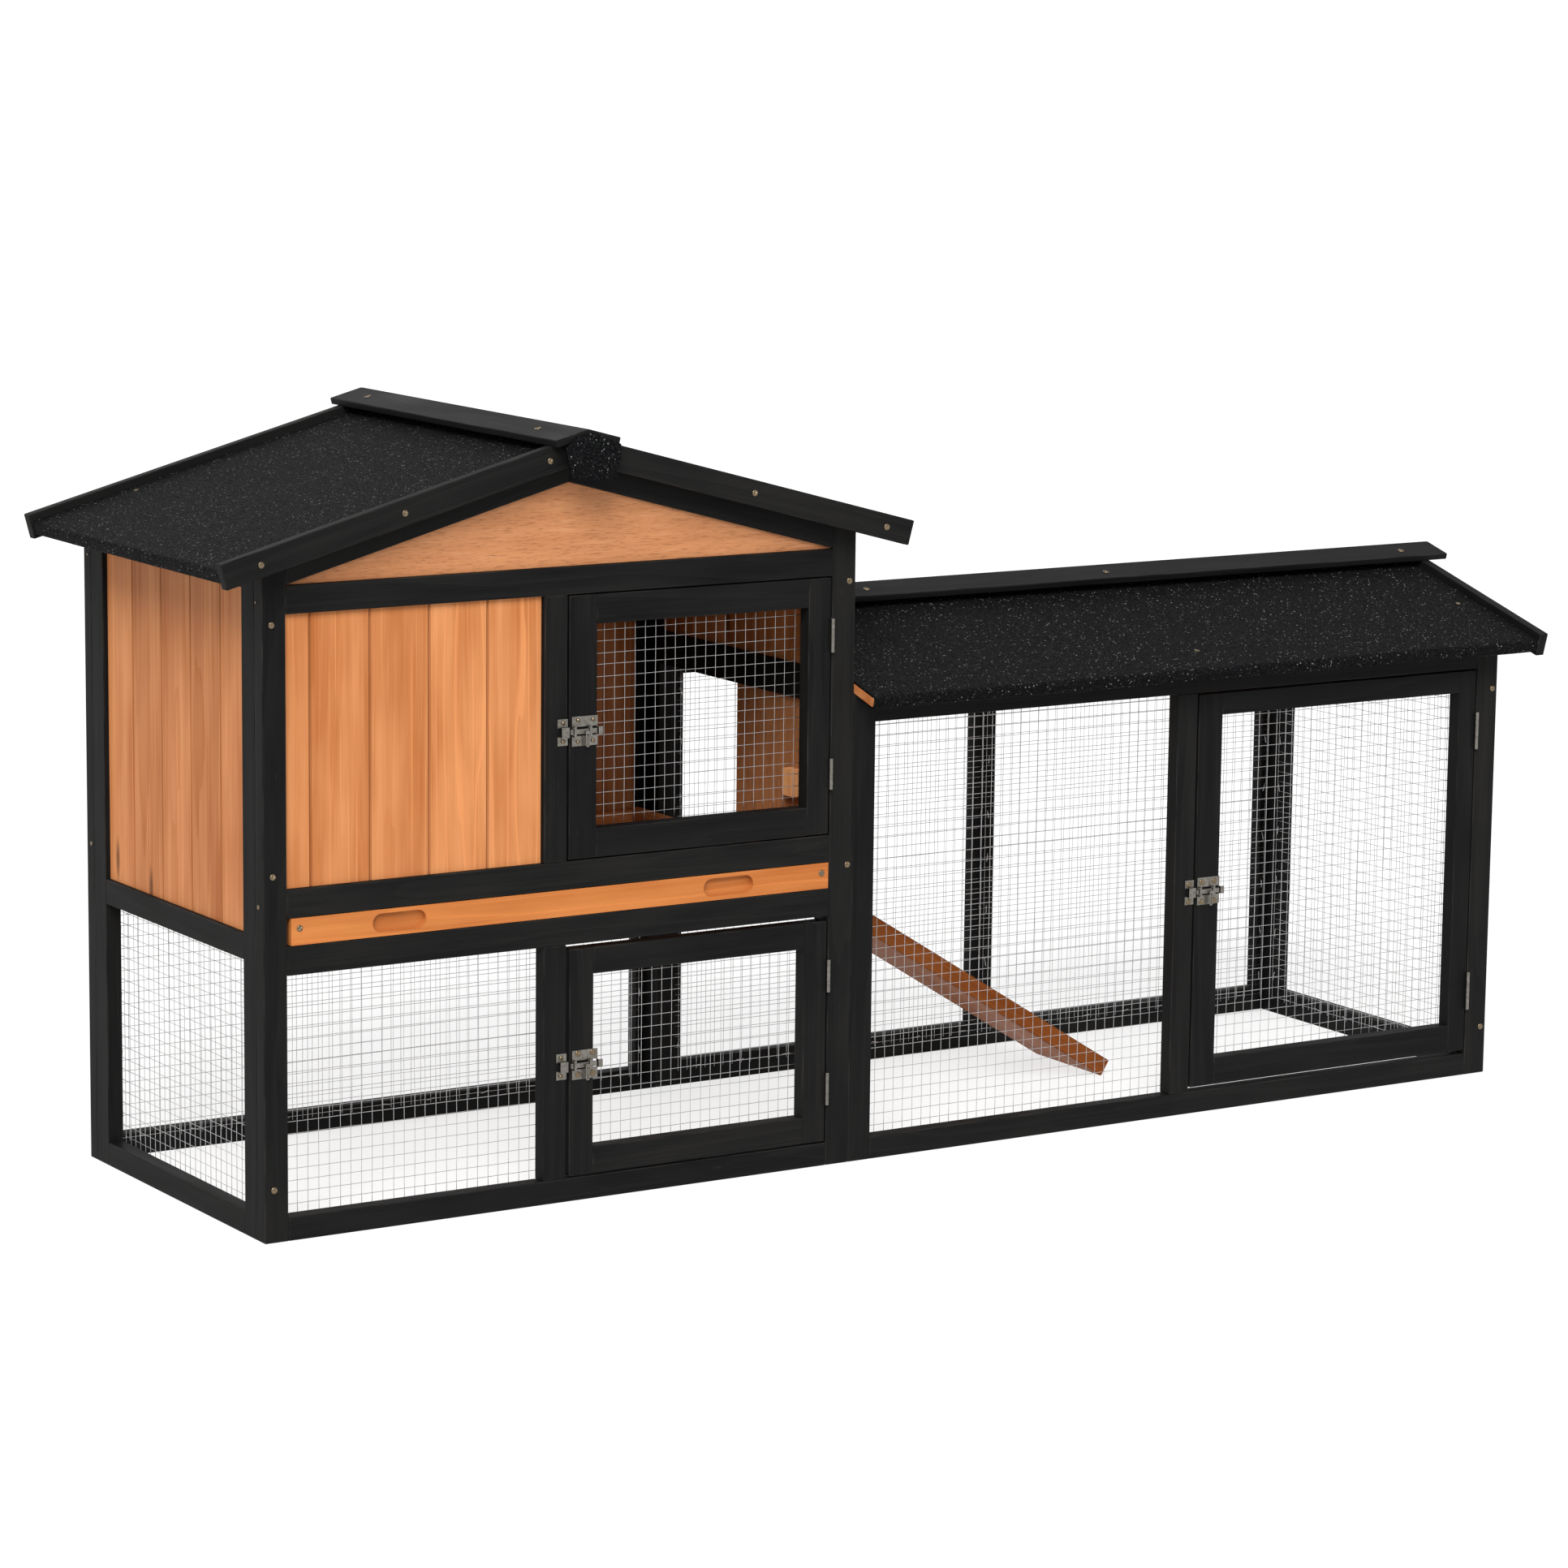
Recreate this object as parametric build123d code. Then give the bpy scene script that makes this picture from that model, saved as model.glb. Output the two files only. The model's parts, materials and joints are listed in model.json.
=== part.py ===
from build123d import *
import math
import os

# Two-storey rabbit hutch with a mesh run, millimetres, Z up.
# The dimensions below are measured from the house's front left bottom corner:
# X to the right along the front, Y to the back. save() moves every piece so that
# the origin ends up in the middle of the base.

# ---- driving dimensions: frames ----
DEPTH = 456.0  # outside depth of house and run frames
BOARD = 19.0  # thickness of every frame stick
STICK = 31.0  # usual width of a frame stick
RECESS = 5.4  # wall panels sit this far behind the frame's face
BACK = DEPTH - BOARD  # front face of the back frames
LAP = 9.0  # mesh overlaps the frame behind it by this much
MESH_T = 1.2  # thickness of a welded mesh sheet, wire on wire
MESH_GAP = 0.5  # mesh edges stay clear of the next frame by this much

# ---- house ----
HOUSE_W = 754.0
LEFT_POST = 28.4
RIGHT_POST_X = 723.0
MULLION_X0 = 346.5
MULLION_X1 = 375.6
BOTTOM_RAIL_TOP = 27.0
UNDER_TRAY_Z = 295.6
TRAY_Z0 = 328.0
TRAY_Z1 = 359.0
FLOOR_RAIL_TOP = 390.7
UPPER_RAIL_Z0 = 690.8
UPPER_RAIL_Z1 = 722.0
SIDE_RAIL_Z0 = 308.0
SIDE_RAIL_Z1 = 337.0
EAVE_RAIL_Z0 = 716.0
EAVE_RAIL_Z1 = 745.5
RIGHT_FOOT_Z = 10.0  # the right side's sticks end this far above the ground
RIDGE_X = HOUSE_W / 2
HOUSE_PITCH = 15.0
HOUSE_UNDERSIDE = 847.0  # underside of the roof boards at the ridge
PLANK_T = 8.0
PLANK_PITCH = 72.6
SIDE_PLANK_PITCH = 75.0
VEE = 1.6  # chamfer of the plank joints
FRONT_FIRST_PLANK = 31.4  # visible width of the first, cut-down plank in each wall
SIDE_FIRST_PLANK = 63.0
BACK_FIRST_PLANK = 46.0
PLY_T = 5.0
RAFTER_W = 30.0

# ---- tray ----
TRAY_X0 = 33.3
TRAY_X1 = 722.0
TRAY_FRONT_T = 15.0
TRAY_BACK_Y = 430.0
TRAY_BASE_Z0 = 331.0
TRAY_BASE_T = 5.0
TRAY_BATTEN = 18.0
TRAY_GAP = 0.5  # above and below the front board
TRAY_BASE_X1 = TRAY_X1 - 1.0
TRAY_BATTEN_TOP = TRAY_Z1 - 2.0
RECESS_CENTRES = (165.5, 587.5)  # finger recesses along the tray's front
RECESS_Z = 343.5
RECESS_LENGTH = 66.0
RECESS_HEIGHT = 21.0
RECESS_INWARD = 7.0
TRAY_SCREWS = ((42.0, 348.0), (712.0, 348.0))
RUNNER_W = 30.0
RUNNER_H = 18.0

# ---- roofs ----
ROOF_BOARD_T = 10.0
FELT_T = 2.5
ROOF_OVERHANG = 15.0  # roof boards past the front and back frames
BARGE_T = 12.4
BARGE_W = 29.0
BARGE_PROUD = 10.0  # barge boards stand above the felt, measured upright
EAVE_REACH = 438.4  # ridge to the top corner of a barge board's end
BOARD_REACH = 434.0  # ridge to the eave edge of the house's felt
CAP_T = 8.0
CAP_REACH = 41.0
CAP_Y0 = -42.0
FELT_TUCK = 22.0  # the felt runs back under the roof boards by this much
FLAP_WAIST_X = (347.5, 416.0)  # the end flap where it bends over the cap's two edges
FLAP_SHOULDER_X = 419.5
FLAP_HEM_X = (356.0, 410.0)
FLAP_HEM_Z = (823.0, 822.0)
FLAP_SHOULDER_Z = 856.0

# ---- run ----
RUN_X0 = HOUSE_W
RUN_X1 = 1710.0
RUN_LEFT_STILE = 30.5
RUN_MID_X0 = 1217.0
RUN_MID_X1 = 1246.0
RUN_RIGHT_X0 = 1678.0
RUN_TOP_Z0 = 518.0
RUN_RIDGE_Y = DEPTH / 2
RUN_PITCH = 15.5
RUN_UNDERSIDE = 615.5
RUN_BACK_STILE = 34.0
RUN_BACK_MID_X0 = 1222.0
RUN_BACK_RIGHT_X0 = 1680.0
RUN_BACK_TOP_Z0 = 516.0
RUN_FELT_X0 = 756.0
RUN_ROOF_END = 1739.0
RUN_CAP_END = 1778.0
RUN_EAVE_REACH = 270.0  # ridge to the eave edge of the run's felt
RUN_BARGE_REACH = 273.5

# ---- hinges ----
HINGE_GAP = 2.0  # between a door's hinge edge and its post
KNUCKLE_R = 2.4
PIN_R = 1.2
PIN_CLEARANCE = 0.05
HINGE_OUT = 2.9  # hinge axis in front of the frame's face
LEAF_T = 0.9
LEAF_DEPTH = 17.0
KNUCKLE_GAP = 0.2

# ---- latches ----
SHEET = 1.0
STRAP_HALF = 6.0
STRAP_OUT = 5.7
STRAP_W = 3.0
STRAP_PLACES = (0.5, 20.5)  # from the plate's edge beside the post
PLATE_INSET = 3.0  # the plate's edge behind the door's edge
PLATE_W = 33.0
PLATE_HALF = 16.8
PLATE_SCREWS = ((7.0, 26.0), 12.0)  # across the plate, and above and below the bolt
PLATE_SLOT = (4.5, 31.5)  # opening behind the bolt, from the plate's edge
PLATE_LIP = 4.5  # the lip past the plate's far edge
PLATE_LIP_HALF = 4.5
PLATE_LIP_OUT = 5.0
BOLT_HALF = 2.8
BOLT_T = 2.8
BOLT_SLACK = 0.4  # behind the bolt
BOLT_TIP = 3.3  # the bolt's tip stands this far out of the plate when it is drawn back
BOLT_END = 30.5
LOOP_WIRE = 0.9  # wire radius
LOOP_LEGS = (15.7, 18.9)
LOOP_DROP = 17.0
LOOP_BEND = 1.3
KEEPER_TAB_W = 13.0
KEEPER_BRIDGE_W = 10.0
KEEPER_HALF = 15.0
KEEPER_SCREW_UP = 10.5
LATCH_SCREW_R = 2.8
LATCH_SCREW_H = 1.2

# ---- ramp ----
RAMP_AXIS_X = 756.4
RAMP_AXIS_Z = 343.2
RAMP_SLOPE = 31.7
RAMP_Y0 = 218.0
RAMP_Y1 = 360.0
RAMP_DEPTH = 22.0
RAMP_RAIL_W = 12.0
RAMP_BOARD_T = 8.0
RAMP_TOP = 1.4  # walking side above the hinge axis, square to the slope
RAMP_END_GAP = 3.2  # the upper end starts this far down the slope from the hinge axis
HEAD_BATTEN_END = 34.0
CLEAT_W = 12.0
CLEAT_H = 8.0
CLEAT_FIRST = 88.0
CLEAT_PITCH = 62.0
CLEAT_COUNT = 9
RAMP_HINGES = ((248.0, 274.0), (304.0, 330.0))
RAMP_LEAF_LENGTH = 24.0
RAMP_LEAF_LOW = 318.0

# ---- doorway between house and run ----
DOORWAY_RAIL_Z0 = 536.0
DOORWAY_RAIL_Z1 = 576.0
SLIDER_X0 = 741.5
SLIDER_T = 5.0
SLIDER_Y0 = 50.5
SLIDER_Y1 = 236.0
GROOVE_DEPTH = 6.0
GROOVE_SLACK = 0.5
FIXED_PANEL_Y1 = 233.0
FIXED_PANEL_T = 5.4
PULL_OUT = 12.0
PULL_Y = (86.0, 115.0)
PULL_Z = (419.0, 452.0)

# ---- screws and nails, where their heads sit ----
FRONT_SCREWS = (
    (10.0, 681.0),
    (10.0, 407.0),
    (10.0, 60.0),
    (745.0, 685.0),
    (747.0, 355.0),
    (1701.0, 492.0),
    (1701.0, 60.5),
)
SIDE_NAILS = ((13.0, 705.0), (12.0, 373.0), (444.0, 708.0), (444.0, 373.0))
BARGE_SCREWS_X = (-15.0, 157.0, 336.0, 599.0, 777.0)
HOUSE_CAP_SCREWS_Y = (34.0, 440.0)
RUN_CAP_SCREWS_X = (902.0, 1253.0, 1716.0)
CAP_SCREW_REACH = 22.0
RUN_FELT_NAILS = ((1250.0, 219.0), (1711.0, 148.0))  # along the run, and from the ridge
HOUSE_FELT_NAILS = ((312.0, 452.0), (325.0, 14.0))  # from the ridge, and in the depth

HOUSE_TAN = math.tan(math.radians(HOUSE_PITCH))
RUN_TAN = math.tan(math.radians(RUN_PITCH))
SLOPE = math.radians(RAMP_SLOPE)
RAMP_LENGTH = (RAMP_AXIS_Z - (RAMP_DEPTH - RAMP_TOP) * math.cos(SLOPE)) / math.sin(SLOPE)
RUN_TOP_Z1 = RUN_UNDERSIDE - RUN_TAN * RUN_RIDGE_Y
RUN_END_X0 = RUN_X1 - BOARD
RUN_END_TOP = RUN_TOP_Z1 - 2.0
SHIFT = Location(
    (
        -(RIDGE_X - EAVE_REACH + RUN_CAP_END) / 2,
        -DEPTH / 2,
        0,
    )
)


# ---- helpers ----
def block(x0, x1, y0, y1, z0, z1):
    """Straight stick or plate between two corners."""
    centre = Location(((x0 + x1) / 2, (y0 + y1) / 2, (z0 + z1) / 2))
    return centre * Box(x1 - x0, y1 - y0, z1 - z0)


def prism_y(outline, y0, y1):
    """Outline of (x, z) points, drawn out from y0 to y1."""
    wire = Polyline([(x, y0, z) for x, z in outline], close=True)
    return extrude(make_face(wire), amount=y1 - y0, dir=(0, 1, 0))


def prism_x(outline, x0, x1):
    """Outline of (y, z) points, drawn out from x0 to x1."""
    wire = Polyline([(x0, y, z) for y, z in outline], close=True)
    return extrude(make_face(wire), amount=x1 - x0, dir=(1, 0, 0))


def prism_z(outline, z0, z1):
    """Outline of (x, y) points, drawn up from z0 to z1."""
    wire = Polyline([(x, y, z0) for x, y in outline], close=True)
    return extrude(make_face(wire), amount=z1 - z0, dir=(0, 0, 1))


def rod(centre, radius, length, direction):
    """Cylinder about an axis through centre, half its length each way."""
    start = Vector(*centre) - Vector(*direction) * (length / 2)
    plane = Plane(origin=start, z_dir=direction)
    return plane * Cylinder(radius, length, align=(Align.CENTER, Align.CENTER, Align.MIN))


def screw_head(point, outward, radius=3.1, height=1.3):
    """Low raised head that sits on a face, narrower towards its top."""
    plane = Plane(origin=point, z_dir=outward)
    base = (Align.CENTER, Align.CENTER, Align.MIN)
    return plane * Cone(radius, radius * 0.72, height, align=base)


def house_under(x):
    """Height of the house roof's underside above a place along the front."""
    return HOUSE_UNDERSIDE - HOUSE_TAN * abs(x - RIDGE_X)


def run_under(y):
    """Height of the run roof's underside above a place in the depth."""
    return RUN_UNDERSIDE - RUN_TAN * abs(y - RUN_RIDGE_Y)


def house_lift(thickness):
    """Upright height of a layer of this thickness on the house roof."""
    return thickness / math.cos(math.radians(HOUSE_PITCH))


def run_lift(thickness):
    """Upright height of a layer of this thickness on the run roof."""
    return thickness / math.cos(math.radians(RUN_PITCH))


def save(name, solids):
    """Write one sub-part, moved so that the origin is in the middle of the base."""
    parts = solids if isinstance(solids, list) else [solids]
    moved = [SHIFT * part for part in parts]
    whole = moved[0] if len(moved) == 1 else Compound(moved)
    export_step(whole, "parts/" + name + ".step")


# ---- house frames ----
def post_under_roof(x0, x1, y0, y1):
    """Corner post with its top cut to the roof's slope."""
    top = [(x1, house_under(x1)), (x0, house_under(x0))]
    return prism_y([(x0, 0), (x1, 0)] + top, y0, y1)


def house_posts(y0, y1, left_width):
    return [
        post_under_roof(0, left_width, y0, y1),
        post_under_roof(RIGHT_POST_X, HOUSE_W, y0, y1),
    ]


def house_front_rails():
    rail_heights = [
        (0, BOTTOM_RAIL_TOP),
        (UNDER_TRAY_Z, TRAY_Z0),
        (TRAY_Z1, FLOOR_RAIL_TOP),
        (UPPER_RAIL_Z0, UPPER_RAIL_Z1),
    ]
    return [block(LEFT_POST, RIGHT_POST_X, 0, BOARD, low, high) for low, high in rail_heights]


def house_front_mullions():
    return [
        block(MULLION_X0, MULLION_X1, 0, BOARD, BOTTOM_RAIL_TOP, UNDER_TRAY_Z),
        block(MULLION_X0, MULLION_X1, 0, BOARD, FLOOR_RAIL_TOP, UPPER_RAIL_Z0),
    ]


def gable_rafters(x0, x1, y0, y1):
    """Two sloping rails that meet at the ridge, above the upper rail."""
    drop = house_lift(RAFTER_W)
    rafters = []
    for edge in (x0, x1):
        outline = [
            (edge, house_under(edge) - drop),
            (RIDGE_X, HOUSE_UNDERSIDE - drop),
            (RIDGE_X, HOUSE_UNDERSIDE),
            (edge, house_under(edge)),
        ]
        rafters.append(prism_y(outline, y0, y1))
    return rafters


def gable_panel(x0, x1, y0):
    """Plywood triangle between the upper rail and the two rafters."""
    drop = house_lift(RAFTER_W)
    outline = [
        (x0, UPPER_RAIL_Z1),
        (x1, UPPER_RAIL_Z1),
        (x1, house_under(x1) - drop),
        (RIDGE_X, HOUSE_UNDERSIDE - drop),
        (x0, house_under(x0) - drop),
    ]
    return prism_y(outline, y0, y0 + PLY_T)


def side_stiles(x0, x1, top_at, foot=0.0):
    """Two upright sticks of a house side frame, between front and back frames."""
    top = house_under(top_at)
    return [
        block(x0, x1, BOARD, BOARD + STICK, foot, top),
        block(x0, x1, BACK - STICK, BACK, foot, top),
    ]


def house_left_frame():
    rails = [(0, BOTTOM_RAIL_TOP), (SIDE_RAIL_Z0, SIDE_RAIL_Z1), (EAVE_RAIL_Z0, EAVE_RAIL_Z1)]
    inner = (BOARD + STICK, BACK - STICK)
    sticks = [block(0, BOARD, inner[0], inner[1], low, high) for low, high in rails]
    return side_stiles(0, BOARD, 0) + sticks


def house_right_frame():
    """Open below the floor; the doorway's rail and sill are grooved for the slider."""
    x0 = HOUSE_W - BOARD
    inner = (BOARD + STICK, BACK - STICK)
    sill = block(x0, HOUSE_W, inner[0], inner[1], SIDE_RAIL_Z0, SIDE_RAIL_Z1)
    head = block(x0, HOUSE_W, inner[0], inner[1], DOORWAY_RAIL_Z0, DOORWAY_RAIL_Z1)
    groove_x0 = SLIDER_X0 - GROOVE_SLACK
    groove_x1 = SLIDER_X0 + SLIDER_T + GROOVE_SLACK
    low_groove = (SIDE_RAIL_Z1 - GROOVE_DEPTH, SIDE_RAIL_Z1 + 1)
    high_groove = (DOORWAY_RAIL_Z0 - 1, DOORWAY_RAIL_Z0 + GROOVE_DEPTH)
    sill -= block(groove_x0, groove_x1, inner[0] - 1, inner[1] + 1, *low_groove)
    head -= block(groove_x0, groove_x1, inner[0] - 1, inner[1] + 1, *high_groove)
    eave = block(x0, HOUSE_W, inner[0], inner[1], EAVE_RAIL_Z0, EAVE_RAIL_Z1)
    return side_stiles(x0, HOUSE_W, HOUSE_W, RIGHT_FOOT_Z) + [sill, head, eave]


def house_back_frame():
    rails = [(0, BOTTOM_RAIL_TOP), (UNDER_TRAY_Z, TRAY_Z0), (UPPER_RAIL_Z0, UPPER_RAIL_Z1)]
    sticks = [block(STICK, RIGHT_POST_X, BACK, DEPTH, low, high) for low, high in rails]
    return house_posts(BACK, DEPTH, STICK) + sticks


# ---- walls ----
def plank_edges(start, end, first, pitch):
    """Places of the plank joints: first is the width of the first plank."""
    edges = [start]
    place = start + first
    while place < end - VEE * 4:
        edges.append(place)
        place += pitch
    return edges + [end]


def plank_profile(low, high, face, inward):
    """Plank section as (along, depth) points, chamfered on its outer face."""
    shoulder = face + inward * VEE
    rear = face + inward * PLANK_T
    return [
        (low, shoulder),
        (low + VEE, face),
        (high - VEE, face),
        (high, shoulder),
        (high, rear),
        (low, rear),
    ]


def planks_along_x(edges, face, inward, z0, z1):
    pairs = zip(edges[:-1], edges[1:])
    return [prism_z(plank_profile(low, high, face, inward), z0, z1) for low, high in pairs]


def planks_along_y(edges, face, inward, z0, z1):
    planks = []
    for low, high in zip(edges[:-1], edges[1:]):
        profile = [(depth, along) for along, depth in plank_profile(low, high, face, inward)]
        planks.append(prism_z(profile, z0, z1))
    return planks


def front_plank_wall():
    edges = plank_edges(LEFT_POST, MULLION_X0, FRONT_FIRST_PLANK, PLANK_PITCH)
    return planks_along_x(edges, RECESS, 1, FLOOR_RAIL_TOP, UPPER_RAIL_Z0)


def back_plank_wall():
    edges = plank_edges(STICK, RIGHT_POST_X, BACK_FIRST_PLANK, SIDE_PLANK_PITCH)
    return planks_along_x(edges, DEPTH - RECESS, -1, TRAY_Z0, UPPER_RAIL_Z0)


def left_plank_wall():
    edges = plank_edges(BOARD + STICK, BACK - STICK, SIDE_FIRST_PLANK, SIDE_PLANK_PITCH)
    return planks_along_y(edges, RECESS, 1, SIDE_RAIL_Z1, EAVE_RAIL_Z0)


def right_plank_wall():
    edges = plank_edges(BOARD + STICK, BACK - STICK, SIDE_FIRST_PLANK, SIDE_PLANK_PITCH)
    return planks_along_y(edges, HOUSE_W - RECESS, -1, DOORWAY_RAIL_Z1, EAVE_RAIL_Z0)


def ramp_wall_panel():
    """Fixed plywood outside the slider, in front of the doorway."""
    x0 = HOUSE_W - FIXED_PANEL_T
    return block(x0, HOUSE_W, BOARD + STICK, FIXED_PANEL_Y1, SIDE_RAIL_Z1, DOORWAY_RAIL_Z0)


def ramp_door_panel():
    low = SIDE_RAIL_Z1 - GROOVE_DEPTH + GROOVE_SLACK
    high = DOORWAY_RAIL_Z0 + GROOVE_DEPTH - 2 * GROOVE_SLACK
    return block(SLIDER_X0, SLIDER_X0 + SLIDER_T, SLIDER_Y0, SLIDER_Y1, low, high)


def ramp_door_pull():
    """Small wooden block on the slider's inner face."""
    pull = block(SLIDER_X0 - PULL_OUT, SLIDER_X0, *PULL_Y, *PULL_Z)
    return chamfer(pull.edges().filter_by(Axis.X), 1.5)


# ---- tray ----
def tray_front():
    """Front board with two obround finger recesses."""
    board = block(TRAY_X0, TRAY_X1, 0, TRAY_FRONT_T, TRAY_Z0 + TRAY_GAP, TRAY_Z1 - TRAY_GAP)
    for centre_x in RECESS_CENTRES:
        plane = Plane(origin=(centre_x, 0, RECESS_Z), x_dir=(1, 0, 0), z_dir=(0, -1, 0))
        slot = plane * SlotOverall(RECESS_LENGTH, RECESS_HEIGHT)
        board -= extrude(slot, amount=-RECESS_INWARD)
    return board


def tray_base():
    high = TRAY_BASE_Z0 + TRAY_BASE_T
    return block(TRAY_X0, TRAY_BASE_X1, TRAY_FRONT_T, TRAY_BACK_Y, TRAY_BASE_Z0, high)


def tray_battens():
    heights = (TRAY_BASE_Z0 + TRAY_BASE_T, TRAY_BATTEN_TOP)
    depths = (TRAY_FRONT_T, TRAY_BACK_Y)
    inner = (TRAY_X0 + TRAY_BATTEN, TRAY_BASE_X1 - TRAY_BATTEN)
    return [
        block(TRAY_X0, inner[0], *depths, *heights),
        block(inner[1], TRAY_BASE_X1, *depths, *heights),
        block(*inner, TRAY_BACK_Y - TRAY_BATTEN, TRAY_BACK_Y, *heights),
    ]


def tray_screws():
    return [screw_head((x, 0, z), (0, -1, 0)) for x, z in TRAY_SCREWS]


def tray_runners():
    """Battens on the side frames that the tray slides on."""
    heights = (TRAY_BASE_Z0 - RUNNER_H, TRAY_BASE_Z0)
    left = BOARD
    right = HOUSE_W - BOARD
    return [
        block(left, left + RUNNER_W, BOARD, BACK, *heights),
        block(right - RUNNER_W, right, BOARD, BACK, *heights),
    ]


# ---- roofs ----
def sloped_layer(top_reach, low_reach, base_at, lift_low, lift_high, ridge):
    """Outline of one roof layer on the low side of the ridge, cut square at its eave."""
    return [
        (ridge - low_reach, base_at(low_reach) + lift_low),
        (ridge, base_at(0) + lift_low),
        (ridge, base_at(0) + lift_high),
        (ridge - top_reach, base_at(top_reach) + lift_high),
    ]


def mirrored(outline, ridge):
    """The same outline on the other side of the ridge."""
    return [(2 * ridge - along, height) for along, height in outline]


def both_slopes(outline, ridge, extrude_outline, start, end):
    return [
        extrude_outline(outline, start, end),
        extrude_outline(mirrored(outline, ridge), start, end),
    ]


def board_outline(reach, base_at, lift, pitch, ridge):
    """Roof board section; its end is cut square, so its lower corner is nearer the ridge."""
    set_back = ROOF_BOARD_T * math.sin(math.radians(pitch))
    return sloped_layer(reach, reach - set_back, base_at, 0, lift(ROOF_BOARD_T), ridge)


def felt_outline(reach, base_at, lift, pitch, ridge):
    """Felt on top of a board, down over its eave edge and back under it for a short way."""
    angle = math.radians(pitch)
    board_reach = reach - FELT_T
    board_low = board_reach - ROOF_BOARD_T * math.sin(angle)
    felt_low = reach - (ROOF_BOARD_T + 2 * FELT_T) * math.sin(angle)
    under_end = board_low - FELT_TUCK
    top = lift(ROOF_BOARD_T)
    return [
        (ridge, base_at(0) + top),
        (ridge, base_at(0) + top + lift(FELT_T)),
        (ridge - reach, base_at(reach) + top + lift(FELT_T)),
        (ridge - felt_low, base_at(felt_low) - lift(FELT_T)),
        (ridge - under_end, base_at(under_end) - lift(FELT_T)),
        (ridge - under_end, base_at(under_end)),
        (ridge - board_low, base_at(board_low)),
        (ridge - board_reach, base_at(board_reach) + top),
    ]


def barge_outline(reach, apex, tangent, pitch, ridge):
    """Barge board section with an end cut square to its slope."""
    angle = math.radians(pitch)
    drop = BARGE_W / math.cos(angle)
    return [
        (ridge, apex),
        (ridge, apex - drop),
        (ridge - reach + BARGE_W * math.sin(angle), apex - tangent * reach - BARGE_W * math.cos(angle)),
        (ridge - reach, apex - tangent * reach),
    ]


def cap_outline(apex, tangent, pitch, ridge):
    """Cap board section, lying on the barge boards' top edges."""
    angle = math.radians(pitch)
    lift = CAP_T / math.cos(angle)
    low_reach = CAP_REACH - CAP_T * math.sin(angle)
    return [
        (ridge, apex),
        (ridge, apex + lift),
        (ridge - CAP_REACH, apex + lift - tangent * CAP_REACH),
        (ridge - low_reach, apex - tangent * low_reach),
    ]


def house_base(reach):
    return HOUSE_UNDERSIDE - HOUSE_TAN * reach


def run_base(reach):
    return RUN_UNDERSIDE - RUN_TAN * reach


HOUSE_ROOF_TOP = HOUSE_UNDERSIDE + house_lift(ROOF_BOARD_T + FELT_T)
RUN_ROOF_TOP = RUN_UNDERSIDE + run_lift(ROOF_BOARD_T + FELT_T)
HOUSE_BARGE_APEX = HOUSE_ROOF_TOP + BARGE_PROUD
RUN_BARGE_APEX = RUN_ROOF_TOP + BARGE_PROUD


def house_roof_boards():
    outline = board_outline(BOARD_REACH - FELT_T, house_base, house_lift, HOUSE_PITCH, RIDGE_X)
    return both_slopes(outline, RIDGE_X, prism_y, -ROOF_OVERHANG, DEPTH + ROOF_OVERHANG)


def house_roof_felt():
    outline = felt_outline(BOARD_REACH, house_base, house_lift, HOUSE_PITCH, RIDGE_X)
    return both_slopes(outline, RIDGE_X, prism_y, -ROOF_OVERHANG, DEPTH + ROOF_OVERHANG)


def house_barge_boards():
    outline = barge_outline(EAVE_REACH, HOUSE_BARGE_APEX, HOUSE_TAN, HOUSE_PITCH, RIDGE_X)
    near = both_slopes(outline, RIDGE_X, prism_y, -ROOF_OVERHANG - BARGE_T, -ROOF_OVERHANG)
    far_y = DEPTH + ROOF_OVERHANG
    far = both_slopes(outline, RIDGE_X, prism_y, far_y, far_y + BARGE_T)
    return near + far


def house_ridge_cap():
    outline = cap_outline(HOUSE_BARGE_APEX, HOUSE_TAN, HOUSE_PITCH, RIDGE_X)
    return both_slopes(outline, RIDGE_X, prism_y, CAP_Y0, DEPTH - CAP_Y0)


def ridge_end_flap():
    """Felt flap that hangs over the front end of the house's ridge cap."""
    waist_z = HOUSE_BARGE_APEX - 9.0
    outline = [
        (FLAP_HEM_X[0], FLAP_HEM_Z[0]),
        (FLAP_HEM_X[1], FLAP_HEM_Z[1]),
        (FLAP_SHOULDER_X, FLAP_SHOULDER_Z),
        (FLAP_WAIST_X[1], waist_z),
        (RIDGE_X + 6.0, HOUSE_BARGE_APEX + 4.0),
        (RIDGE_X - 14.0, HOUSE_BARGE_APEX + 1.0),
        (FLAP_WAIST_X[0], waist_z - 2.0),
    ]
    return prism_y(outline, CAP_Y0 - FELT_T, CAP_Y0)


def run_roof_boards():
    outline = board_outline(RUN_EAVE_REACH - FELT_T, run_base, run_lift, RUN_PITCH, RUN_RIDGE_Y)
    return both_slopes(outline, RUN_RIDGE_Y, prism_x, HOUSE_W + 0.5, RUN_ROOF_END)


def run_roof_felt():
    outline = felt_outline(RUN_EAVE_REACH, run_base, run_lift, RUN_PITCH, RUN_RIDGE_Y)
    return both_slopes(outline, RUN_RIDGE_Y, prism_x, RUN_FELT_X0, RUN_ROOF_END)


def run_barge_boards():
    outline = barge_outline(RUN_BARGE_REACH, RUN_BARGE_APEX, RUN_TAN, RUN_PITCH, RUN_RIDGE_Y)
    return both_slopes(outline, RUN_RIDGE_Y, prism_x, RUN_ROOF_END, RUN_ROOF_END + BARGE_T)


def run_ridge_cap():
    outline = cap_outline(RUN_BARGE_APEX, RUN_TAN, RUN_PITCH, RUN_RIDGE_Y)
    return both_slopes(outline, RUN_RIDGE_Y, prism_x, RUN_FELT_X0, RUN_CAP_END)


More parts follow.
